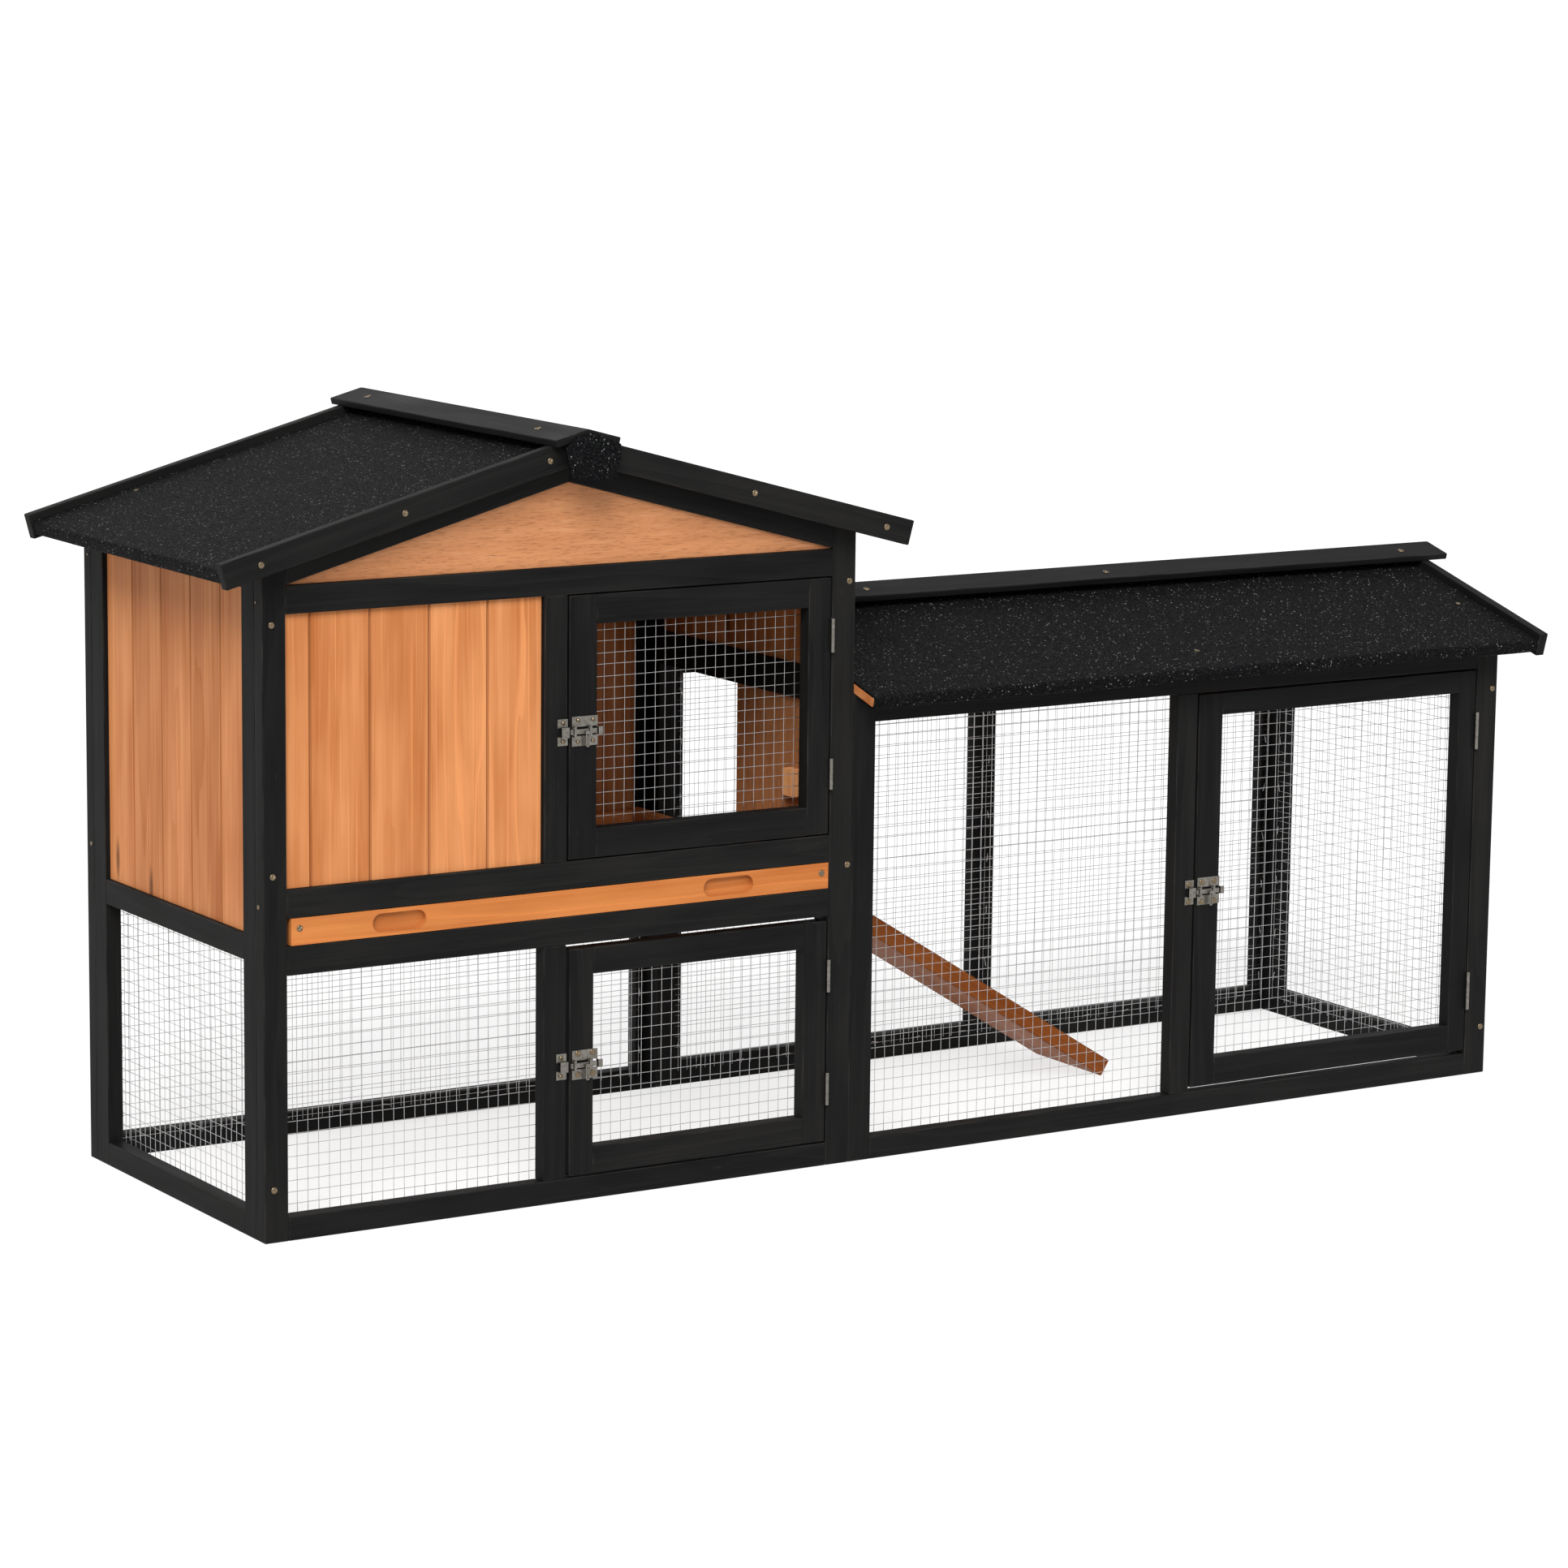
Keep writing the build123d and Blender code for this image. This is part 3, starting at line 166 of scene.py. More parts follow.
BLACK_SCUFF = (0.042, 0.038, 0.032)
BLACK_WORN_EDGE = (0.034, 0.030, 0.026)
PLY_BANDS = ((0.47, 0.200, 0.080), (0.36, 0.138, 0.050))
PLY_PORE = (0.200, 0.066, 0.020)
PLY_LIGHT = (0.53, 0.262, 0.125)
FELT_BITUMEN = (0.0008, 0.0009, 0.0011)
FELT_GRIT = (0.0034, 0.0036, 0.0041)
FELT_PALE_GRIT = (0.019, 0.019, 0.020)
FELT_SPARK = (0.17, 0.17, 0.165)
ZINC = ((0.235, 0.222, 0.200), (0.150, 0.140, 0.118))  # clean, dull
YELLOW_ZINC = ((0.25, 0.190, 0.125), (0.14, 0.104, 0.064))
GALVANISED = ((0.56, 0.56, 0.56), (0.41, 0.415, 0.42))
FLOOR_TONES = ((0.19, 0.19, 0.19), (0.21, 0.21, 0.21))

# ---- floor, walls and light ----
FLOOR_GLOW = 0.76  # keeps the floor pale where the hutch shades it
FLOOR_HALF = 64.0  # near enough that no view's far clip cuts the walls away
WALL_HEIGHT = 14.4
SKY_STRENGTH = 0.42
LIGHTS = (  # name, place that the light comes from, spread in degrees, strength
    ("key", (-2.5, -3.6, 4.0), 34.0, 4.1),
    ("fill", (3.6, -2.4, 5.4), 60.0, 0.55),
    ("back", (0.5, 4.5, 4.4), 70.0, 0.9),
)

random.seed(375)
for thing in list(bpy.data.objects):
    bpy.data.objects.remove(thing)
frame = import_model()
record = frame["record"]
BODY_OF = {node: body for body, nodes in record["behaviour"]["bodies"].items() for node in nodes}
SLOT_OF = {part["node"]: part["material_slot"] for part in record["subparts"]}


# ---- material helper ----
class Shades:
    """A material's nodes, with a short call for each kind that the materials use."""

    def __init__(self, name):
        self.material = bpy.data.materials.new(name)
        self.material.use_nodes = True
        self.tree = self.material.node_tree
        self.shader = self.tree.nodes["Principled BSDF"]

    def put(self, socket, value):
        if isinstance(value, bpy.types.NodeSocket):
            self.tree.links.new(value, socket)
        else:
            socket.default_value = value

    def node(self, kind, **settings):
        made = self.tree.nodes.new("ShaderNode" + kind)
        for key, value in settings.items():
            setattr(made, key, value)
        return made

    def attribute(self, name):
        return self.node("Attribute", attribute_name=name)

    def object_place(self):
        return self.node("TexCoord").outputs["Object"]

    def math(self, operation, first, second=0.0):
        made = self.node("Math", operation=operation)
        self.put(made.inputs[0], first)
        self.put(made.inputs[1], second)
        return made.outputs[0]

    def scaled(self, place, factors):
        made = self.node("VectorMath", operation="MULTIPLY")
        self.put(made.inputs[0], place)
        self.put(made.inputs[1], factors)
        return made.outputs[0]

    def parts(self, place):
        made = self.node("SeparateXYZ")
        self.put(made.inputs[0], place)
        return made.outputs

    def noise(self, place, scale, detail=2.0, rough=0.5):
        made = self.node("TexNoise")
        self.put(made.inputs["Vector"], place)
        self.put(made.inputs["Scale"], scale)
        self.put(made.inputs["Detail"], detail)
        self.put(made.inputs["Roughness"], rough)
        return made.outputs["Fac"]

    def cells(self, place, scale):
        made = self.node("TexVoronoi")
        self.put(made.inputs["Vector"], place)
        self.put(made.inputs["Scale"], scale)
        return made.outputs

    def spread(self, amount, low, high, to_low=0.0, to_high=1.0):
        made = self.node("MapRange")
        values = (amount, low, high, to_low, to_high)
        for index, value in enumerate(values):
            self.put(made.inputs[index], value)
        return made.outputs[0]

    def ramp(self, amount, stops):
        made = self.node("ValToRGB")
        elements = made.color_ramp.elements
        while len(elements) < len(stops):
            elements.new(0.5)
        for element, (place, colour) in zip(elements, stops):
            element.position = place
            element.color = (*colour, 1.0)
        self.put(made.inputs[0], amount)
        return made.outputs[0]

    def mix(self, amount, first, second, blend="MIX"):
        made = self.node("Mix", data_type="RGBA", blend_type=blend)
        for index, value in ((0, amount), (6, first), (7, second)):
            if isinstance(value, tuple):
                value = (*value, 1.0)
            self.put(made.inputs[index], value)
        return made.outputs[2]

    def bump(self, height, distance, strength=1.0):
        made = self.node("Bump")
        self.put(made.inputs["Height"], height)
        self.put(made.inputs["Distance"], distance)
        self.put(made.inputs["Strength"], strength)
        return made.outputs[0]

    def finish(self, colour, rough, normal, metal=0.0, specular=0.5):
        self.put(self.shader.inputs["Base Color"], colour)
        self.put(self.shader.inputs["Roughness"], rough)
        self.put(self.shader.inputs["Normal"], normal)
        self.put(self.shader.inputs["Metallic"], metal)
        self.put(self.shader.inputs["Specular IOR Level"], specular)
        return self.material


# ---- timber materials ----
def grain_place(shades):
    """Place within a stick: along the grain, then two distances from the tree's pith."""
    return shades.attribute("wood").outputs["Vector"]


def growth_rings(shades, place, spacing):
    """Rises slowly across each year's growth and drops at its dark edge, from 0 to 1."""
    warp = shades.noise(shades.scaled(place, (1.5, 9.0, 9.0)), 1.0, 2.0)
    drift = shades.noise(shades.scaled(place, (3.0, 60.0, 60.0)), 1.0, 1.0)
    axes = shades.parts(place)
    square = shades.math("ADD", shades.math("POWER", axes[1], 2.0), shades.math("POWER", axes[2], 2.0))
    radius = shades.math("SQRT", square)
    radius = shades.math("ADD", radius, shades.math("MULTIPLY", warp, RING_WARP))
    radius = shades.math("ADD", radius, shades.math("MULTIPLY", drift, RING_DRIFT))
    return shades.math("FRACT", shades.math("DIVIDE", radius, spacing))


def knots(shades, place):
    """Dark where a small knot shows, at a few places along the boards."""
    flat = shades.scaled(place, (4.4, 20.0, 20.0))
    found = shades.cells(flat, 1.0)
    chosen = shades.spread(shades.parts(found["Color"])[0], 0.80, 0.81)
    near = shades.spread(found["Distance"], 0.13, 0.05)
    return shades.math("MULTIPLY", chosen, near)


def stained_fir(name, pale, deep, groove_shade):
    """Fir under a clear golden stain: soft growth rings, long streaks, fibres and a few knots, with painted
    shade on its grooves and rounded edges.
    """
    shades = Shades(name)
    place = grain_place(shades)
    rings = growth_rings(shades, place, RINGS_GOLDEN)
    late = shades.math("POWER", rings, 4.0)
    fibre = shades.noise(shades.scaled(place, (9.0, 620.0, 620.0)), 1.0, 3.0, 0.6)
    streaks = shades.noise(shades.scaled(place, (1.3, 70.0, 70.0)), 1.0, 3.0, 0.55)
    cloud = shades.noise(shades.scaled(place, (5.0, 22.0, 22.0)), 1.0, 2.0)
    depth = shades.math("MULTIPLY", late, 0.26)
    depth = shades.math("ADD", depth, shades.spread(streaks, 0.34, 0.68, 0.0, 0.46))
    depth = shades.math("ADD", depth, shades.spread(cloud, 0.36, 0.66, -0.15, 0.46))
    depth = shades.math("ADD", depth, shades.spread(fibre, 0.3, 0.7, -0.10, 0.16))
    colour = shades.mix(depth, pale, deep)
    tone = shades.attribute("tone").outputs["Fac"]
    tint = shades.ramp(tone, [(0.0, GOLDEN_TINT[0]), (1.0, GOLDEN_TINT[1])])
    colour = shades.mix(1.0, colour, tint, "MULTIPLY")
    fine = shades.spread(shades.noise(shades.scaled(place, (2.0, 300.0, 300.0)), 1.0, 1.0), 0.62, 0.72)
    figure = shades.math("MULTIPLY", shades.spread(rings, 0.80, 0.95), shades.spread(tone, 0.50, 0.75))
    light = shades.math("MAXIMUM", shades.math("MULTIPLY", fine, 0.40), shades.math("MULTIPLY", figure, 0.55))
    colour = shades.mix(light, colour, tuple(1.25 * part for part in pale))
    knotty = shades.math("MULTIPLY", knots(shades, place), 0.75)
    # knots take a darker copy of the painted shade colour
    colour = shades.mix(knotty, colour, tuple(0.35 * part for part in groove_shade))
    # painted shade: rounded edges and the chamfers beside plank joints darken towards the painted shade
    # colour
    edge = shades.attribute("edge").outputs["Fac"]
    colour = shades.mix(shades.math("MULTIPLY", edge, 0.85), colour, groove_shade)
    rough = shades.spread(shades.math("ADD", fibre, late), 0.3, 1.5, 0.46, 0.62)
    normal = shades.bump(shades.math("ADD", fibre, shades.math("MULTIPLY", late, -0.5)), 0.00012, 0.6)
    return shades.finish(colour, rough, normal, specular=0.09)


def black_stained_fir():
    """Fir under an opaque black stain, with faint grain, scuffs and paler worn edges."""
    shades = Shades("black_stained_fir")
    place = grain_place(shades)
    rings = shades.math("POWER", growth_rings(shades, place, RINGS_BLACK), 3.0)
    fibre = shades.noise(shades.scaled(place, (7.0, 540.0, 540.0)), 1.0, 3.0, 0.6)
    cloud = shades.noise(shades.scaled(place, (6.0, 30.0, 30.0)), 1.0, 3.0)
    depth = shades.math("ADD", shades.math("MULTIPLY", fibre, 0.45), shades.math("MULTIPLY", cloud, 0.75))
    depth = shades.math("ADD", depth, shades.math("MULTIPLY", rings, 0.14))
    colour = shades.ramp(depth, [(0.36, BLACK_STAIN[0]), (0.80, BLACK_STAIN[1])])
    scuffs = shades.noise(shades.scaled(place, (38.0, 150.0, 150.0)), 1.0, 4.0, 0.7)
    worn = shades.math("MULTIPLY", shades.spread(scuffs, 0.66, 0.80), 0.30)
    colour = shades.mix(worn, colour, BLACK_SCUFF)
    edge = shades.attribute("edge").outputs["Fac"]
    rub = shades.spread(shades.noise(shades.scaled(place, (20.0, 90.0, 90.0)), 1.0, 3.0), 0.40, 0.70)
    colour = shades.mix(shades.math("MULTIPLY", edge, rub), colour, BLACK_WORN_EDGE)
    tone = shades.attribute("tone").outputs["Fac"]
    tint = shades.ramp(tone, [(0.0, BLACK_TINT[0]), (1.0, BLACK_TINT[1])])
    colour = shades.mix(1.0, colour, tint, "MULTIPLY")
    rough = shades.spread(cloud, 0.3, 0.7, 0.50, 0.66)
    normal = shades.bump(shades.math("ADD", fibre, shades.math("MULTIPLY", rings, 0.6)), 0.00014, 0.7)
    return shades.finish(colour, rough, normal, specular=0.06)


def stained_plywood():
    """Rotary-cut face veneer: broad wavy bands with many short dark pores."""
    shades = Shades("stained_plywood")
    place = grain_place(shades)
    bend = shades.noise(shades.scaled(place, (5.0, 14.0, 14.0)), 1.0, 2.0)
    bands = shades.noise(shades.scaled(place, (3.5, 95.0, 95.0)), 1.0, 3.0)
    pores = shades.noise(shades.scaled(place, (62.0, 850.0, 850.0)), 1.0, 2.0, 0.7)
    short = shades.spread(pores, 0.53, 0.66)
    depth = shades.math("ADD", shades.math("MULTIPLY", bend, 0.5), shades.math("MULTIPLY", bands, 0.6))
    colour = shades.ramp(depth, [(0.35, PLY_BANDS[0]), (0.75, PLY_BANDS[1])])
    colour = shades.mix(shades.math("MULTIPLY", short, 0.65), colour, PLY_PORE)
    light = shades.spread(shades.noise(shades.scaled(place, (22.0, 260.0, 260.0)), 1.0, 2.0), 0.55, 0.75)
    colour = shades.mix(shades.math("MULTIPLY", light, 0.35), colour, PLY_LIGHT)
    normal = shades.bump(shades.math("MULTIPLY", short, -1.0), 0.00012, 0.6)
    return shades.finish(colour, shades.spread(bands, 0.3, 0.7, 0.50, 0.62), normal, specular=0.3)


# ---- other materials ----
def mineral_felt():
    """Bitumen felt under black grit of mixed sizes, with pale grains that catch the light."""
    shades = Shades("mineral_felt")
    place = shades.object_place()
    grain = shades.cells(place, 760.0)
    shade = shades.parts(grain["Color"])
    clumps = shades.noise(place, 330.0, 3.0, 0.75)
    patch = shades.noise(place, 9.0, 3.0)
    level = shades.math("MULTIPLY", shade[0], shades.spread(clumps, 0.38, 0.66, 0.25, 1.35))
    colour = shades.ramp(level, [(0.0, FELT_BITUMEN), (0.55, FELT_GRIT), (1.0, FELT_PALE_GRIT)])
    colour = shades.mix(shades.spread(patch, 0.35, 0.70, 0.0, 0.30), colour, FELT_GRIT)
    large = shades.cells(place, 430.0)
    flake = shades.spread(shades.parts(large["Color"])[1], 0.991, 0.995)
    flake = shades.math("MULTIPLY", flake, shades.spread(large["Distance"], 0.42, 0.28))
    spark = shades.math("MAXIMUM", shades.spread(shade[1], 0.985, 0.996), flake)
    colour = shades.mix(spark, colour, FELT_SPARK)
    height = shades.math("SUBTRACT", clumps, grain["Distance"])
    normal = shades.bump(height, 0.0007, 1.0)
    rough = shades.spread(shade[2], 0.0, 1.0, 0.60, 0.95)
    return shades.finish(colour, rough, normal, specular=0.055)


def metal(name, clean, dull, rough, grain_scale):
    """Plated steel: mottled spangle, fine scratches and duller patches."""
    shades = Shades(name)
    place = shades.object_place()
    mottle = shades.noise(place, grain_scale, 3.0, 0.6)
    scratch = shades.noise(shades.scaled(place, (1.0, 1.0, 0.06)), grain_scale * 9.0, 2.0)
    colour = shades.mix(shades.spread(mottle, 0.35, 0.70), clean, dull)
    dirt = shades.spread(shades.noise(place, grain_scale * 0.4, 4.0, 0.7), 0.58, 0.78)
    colour = shades.mix(shades.math("MULTIPLY", dirt, 0.4), colour, tuple(0.45 * c for c in dull))
    worn = shades.spread(mottle, 0.3, 0.7, rough, rough + 0.16)
    normal = shades.bump(shades.math("ADD", mottle, shades.math("MULTIPLY", scratch, 0.3)), 0.00006, 0.6)
    return shades.finish(colour, worn, normal, metal=1.0)


def pale_floor():
    shades = Shades("pale_floor")
    place = shades.object_place()
    speckle = shades.noise(place, 30.0, 2.0)
    colour = shades.mix(speckle, *FLOOR_TONES)
    normal = shades.bump(speckle, 0.0001, 0.2)
    shades.put(shades.shader.inputs["Emission Color"], (1.0, 1.0, 1.0, 1.0))
    shades.put(shades.shader.inputs["Emission Strength"], FLOOR_GLOW)
    return shades.finish(colour, 0.9, normal, specular=0.1)


MATERIALS = {
    "black_wood": black_stained_fir(),
    "orange_wood": stained_fir("golden_fir", *GOLDEN_STAIN),
    "plywood": stained_plywood(),
    "felt": mineral_felt(),
    "zinc": metal("zinc_plate", *ZINC, 0.26, 260.0),
    "screw": metal("yellow_zinc", *YELLOW_ZINC, 0.28, 500.0),
    "wire": metal("galvanised_wire", *GALVANISED, 0.32, 120.0),
}
TRAY_WOOD = stained_fir("tray_fir", *TRAY_STAIN)
# the ramp's fir: a darker copy of the golden fir, painted shade
RAMP_SHADED_WOOD = stained_fir("ramp_fir_painted_shade", *RAMP_PAINTED_SHADE)
PULL_WOOD = stained_fir("pull_fir", *PULL_STAIN)
OWN_WOOD = {
    "ramp_door_pull": PULL_WOOD,
    "tray_front": TRAY_WOOD,
    "ramp_board": RAMP_SHADED_WOOD,
    "ramp_side_rails": RAMP_SHADED_WOOD,
    "ramp_cleats": RAMP_SHADED_WOOD,
}


# ---- shapes from the CAD nodes ----
def corner_key(place):
    return tuple(round(c / WELD) for c in place)


def closed_shape(polygons):
    """A bmesh of one closed solid, with its coplanar triangles joined into flat faces."""
    shape = bmesh.new()
    corners = {}
    for places in polygons:
        for place in places:
            key = corner_key(place)
            if key not in corners:
                corners[key] = shape.verts.new(place)
        face = [corners[corner_key(place)] for place in places]
        if len(set(face)) == len(face) and shape.faces.get(face) is None:
            shape.faces.new(face)
    bmesh.ops.dissolve_limit(shape, angle_limit=FLAT, verts=shape.verts, edges=shape.edges)
    shape.normal_update()
    return shape


def solid_shapes(node):
    """One bmesh for each solid of a CAD node: a solid ends where no edge is left open."""
    mesh = frame["nodes"][node].data
    shapes, polygons, open_edges = [], [], set()
    for polygon in mesh.polygons:
        places = [mesh.vertices[index].co.copy() for index in polygon.vertices]
        polygons.append(places)
        keys = [corner_key(place) for place in places]
        for first, second in zip(keys, keys[1:] + keys[:1]):
            open_edges ^= {frozenset((first, second))}
        if not open_edges:
            shapes.append(closed_shape(polygons))
            polygons = []
    return shapes


def span(shape, direction):
    values = [vert.co.dot(direction) for vert in shape.verts]
    return max(values) - min(values)


def largest_side(shape):
    return max(span(shape, axis) for axis in (Vector((1, 0, 0)), Vector((0, 1, 0)), Vector((0, 0, 1))))


def sharp_edges(shape):
    return [edge for edge in shape.edges if edge.is_manifold and edge.calc_face_angle() > SHARP]


def round_edges(shape, width):
    """Small rounding on every sharp edge; returns how much of an edge each new face is."""
    made = bmesh.ops.bevel(
        shape,
        geom=sharp_edges(shape),
        offset=width,
        offset_type="OFFSET",
        segments=2,
        profile=0.5,
        affect="EDGES",
        clamp_overlap=True,
    )
    # each new face takes this share of painted shade in golden fir and of worn colour in black fir
    return {face: EDGE_SHADE_AND_WEAR for face in made["faces"]}


class Gathered:
    """Faces of several shapes and what the materials read from them, for one mesh."""

    def __init__(self):
        self.points = []
        self.faces = []
        self.wood = []
        self.tone = []
        self.edge = []

    def add(self, points, faces, wood=None, tone=0.5, edge=None):
        start = len(self.points)
        self.points += points
        self.faces += [[start + index for index in face] for face in faces]
        self.wood += wood or [Vector()] * len(points)
        self.tone += [tone] * len(points)
        self.edge += edge or [0.0] * len(faces)

    def add_shape(self, shape, wood_at=None, tone=0.5, edge_faces=None):
        shape.verts.index_update()
        points = [vert.co.copy() for vert in shape.verts]
        faces = [[vert.index for vert in face.verts] for face in shape.faces]
        amounts = edge_faces or {}
        edge = [amounts.get(face, 0.0) for face in shape.faces]
        wood = [wood_at(point) for point in points] if wood_at else None
        self.add(points, faces, wood, tone, edge)
        shape.free()

    def piece(self, name, material, smooth=True):
        mesh = bpy.data.meshes.new(name)
        mesh.from_pydata(self.points, [], self.faces)
        flat = [value for place in self.wood for value in place]
        mesh.attributes.new("wood", "FLOAT_VECTOR", "POINT").data.foreach_set("vector", flat)
        mesh.attributes.new("tone", "FLOAT", "POINT").data.foreach_set("value", self.tone)
        mesh.attributes.new("edge", "FLOAT", "FACE").data.foreach_set("value", self.edge)
        mesh.materials.append(material)
        mesh.polygons.foreach_set("use_smooth", [smooth] * len(mesh.polygons))
        mesh.update()
        made = bpy.data.objects.new(name, mesh)
        bpy.context.scene.collection.objects.link(made)
        return made


def even_normals(piece):
    """Keeps large faces flat while the small roundings between them shade smoothly."""
    piece.modifiers.new("even_normals", "WEIGHTED_NORMAL").weight = 100


def stand_for(piece, node, slot=None):
    """The piece rides on its node's body and is shown in the node's place."""
    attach(piece, BODY_OF[node])
    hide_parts(node)
    slot or SLOT_OF[node]


# ---- timber pieces ----
def wood_axes(shape):
    """Directions along the grain, across the stick and through its thickness."""
    longest = max(sharp_edges(shape), key=lambda edge: edge.calc_length())
    along = (longest.verts[1].co - longest.verts[0].co).normalized()
    sides = [face.normal.copy() for face in shape.faces if abs(face.normal.dot(along)) < 0.1]
    through = min(sides, key=lambda side: round(span(shape, side), 5))
    return along, through.cross(along), through


def wood_mapping(shape):
    """Gives each point of a stick its place in the tree that it was sawn from."""
    along, across, through = wood_axes(shape)
    middle = sum((vert.co for vert in shape.verts), Vector()) / len(shape.verts)
    start = random.uniform(0, GRAIN_START)
    pith = (random.uniform(-PITH_SIDE, PITH_SIDE), random.uniform(*PITH_DEPTH))
    lean = (random.uniform(-LEAN_SIDE, LEAN_SIDE), random.uniform(-LEAN_DEPTH, LEAN_DEPTH))

    def wood_at(point):
        place = point - middle
        far = place.dot(along)
        side = place.dot(across) + pith[0] + lean[0] * far
        depth = place.dot(through) + pith[1] + lean[1] * far
        return Vector((far + start, side, depth))

    return wood_at


def is_slanted(face, through):
    """True for the chamfer beside a plank's joint."""
    return SLANTED[0] < abs(face.normal.dot(through)) < SLANTED[1]


def timber_piece(node, material):
    gathered = Gathered()
    width = PLANK_EDGE if node in PLANK_NODES else STICK_EDGE
    for shape in solid_shapes(node):
        wood_at = wood_mapping(shape)
        through = wood_axes(shape)[2]
        edges = round_edges(shape, width)
        if node.endswith("plank_wall"):
            # these chamfers take the painted shade of the plank joints
            edges.update({face: JOINT_SHADE for face in shape.faces if is_slanted(face, through)})
        gathered.add_shape(shape, wood_at, random.random(), edges)
    piece = gathered.piece(node + "_timber", material)
    even_normals(piece)
    stand_for(piece, node)


# ---- screw heads ----
def head_profile(across, up, radius, height):
    """Height of a domed head with a crossed recess, at a place on its face."""
    reach = min(1.0, math.hypot(across, up) / radius)
    dome = height * math.sqrt(max(0.0, 1.0 - HEAD_FALL * reach ** 2.6))
    arm = HEAD_ARM * radius
    length = HEAD_ARM_LENGTH * radius
    wide, tall = abs(across), abs(up)
    in_arm = (wide < arm and tall < length) or (tall < arm and wide < length)
    recess = HEAD_RECESS * height if in_arm else 0.0
    return dome - recess


def add_screw_head(gathered, centre, outward, radius, height):
    """Round head of rings of points, turned a random way about its axis."""
    side = outward.orthogonal().normalized()
    other = outward.cross(side)
    turn = random.uniform(0, math.tau)
    points, faces = [centre + outward * head_profile(0, 0, radius, height)], []
    for ring in range(1, HEAD_RINGS + 1):
        reach = radius * ring / HEAD_RINGS
        for step in range(HEAD_SIDES):
            angle = math.tau * step / HEAD_SIDES
            rise = head_profile(reach * math.cos(angle), reach * math.sin(angle), radius, height)
            flat = side * math.cos(angle + turn) + other * math.sin(angle + turn)
            points.append(centre + flat * reach + outward * rise)
    for step in range(HEAD_SIDES):
        angle = math.tau * step / HEAD_SIDES + turn
        points.append(centre + (side * math.cos(angle) + other * math.sin(angle)) * radius)
    for step in range(HEAD_SIDES):
        after = (step + 1) % HEAD_SIDES
        faces.append([0, 1 + step, 1 + after])
        for ring in range(HEAD_RINGS):
            low = 1 + ring * HEAD_SIDES
            high = low + HEAD_SIDES
            faces.append([low + step, high + step, high + after, low + after])
    last = 1 + HEAD_RINGS * HEAD_SIDES
    faces.append([last + step for step in reversed(range(HEAD_SIDES))])
    gathered.add(points, faces)


def add_head_for(gathered, shape):
    """Replaces a plain cone: its largest flat face is the side that sits on the wood."""
    base = max(shape.faces, key=lambda face: face.calc_area())
    centre = base.calc_center_median()
    outward = -base.normal
    radius = max((vert.co - centre).length for vert in base.verts)
    height = span(shape, outward)
    add_screw_head(gathered, centre, outward, radius, height)
    shape.free()


def screw_piece(node):
    gathered = Gathered()
    for shape in solid_shapes(node):
        add_head_for(gathered, shape)
    stand_for(gathered.piece(node + "_heads", MATERIALS["screw"]), node)


# ---- latches and hinges ----
def hardware_piece(node):
    """Pressed metal with softened edges; its screws become a piece of their own."""
    plates, heads = Gathered(), Gathered()
    for shape in solid_shapes(node):
        if largest_side(shape) < SCREW_SPAN:
            add_head_for(heads, shape)
        else:
            plates.add_shape(shape, edge_faces=round_edges(shape, METAL_EDGE))
    piece = plates.piece(node + "_metal", MATERIALS["zinc"])
    even_normals(piece)
    stand_for(piece, node)
    if heads.points:
        stand_for(heads.piece(node + "_heads", MATERIALS["screw"]), node, "screw")


# ---- welded mesh ----
def add_tube(gathered, path, radius, reference, sides=WIRE_SIDES):
    """Round wire along a path that never runs along the reference direction."""
    points, faces = [], []
    for index, place in enumerate(path):
        ahead = path[min(index + 1, len(path) - 1)]
        behind = path[max(index - 1, 0)]
        forward = (ahead - behind).normalized()
        side = forward.cross(reference).normalized()
        up = side.cross(forward)
        for step in range(sides):
            angle = math.tau * step / sides
            points.append(place + (side * math.cos(angle) + up * math.sin(angle)) * radius)
    for index in range(len(path) - 1):
        for step in range(sides):
            after = (step + 1) % sides
            low = index * sides
            faces.append([low + step, low + after, low + sides + after, low + sides + step])
    last = (len(path) - 1) * sides
    faces.append(list(reversed(range(sides))))
    faces.append([last + step for step in range(sides)])
    gathered.add(points, faces)


def sheet_axes(shape):
    """Lowest and highest corner of a flat sheet, with its thin axis and the two others."""
    low = Vector([min(vert.co[axis] for vert in shape.verts) for axis in range(3)])
    high = Vector([max(vert.co[axis] for vert in shape.verts) for axis in range(3)])
    thin = min(range(3), key=lambda axis: high[axis] - low[axis])
    flat = 1 - thin if thin < 2 else 0
    return low, high, thin, flat


def wire_places(low, high):
    count = int((high - low) / WIRE_PITCH)
    start = (low + high - count * WIRE_PITCH) / 2
    return [start + index * WIRE_PITCH for index in range(count + 1)]


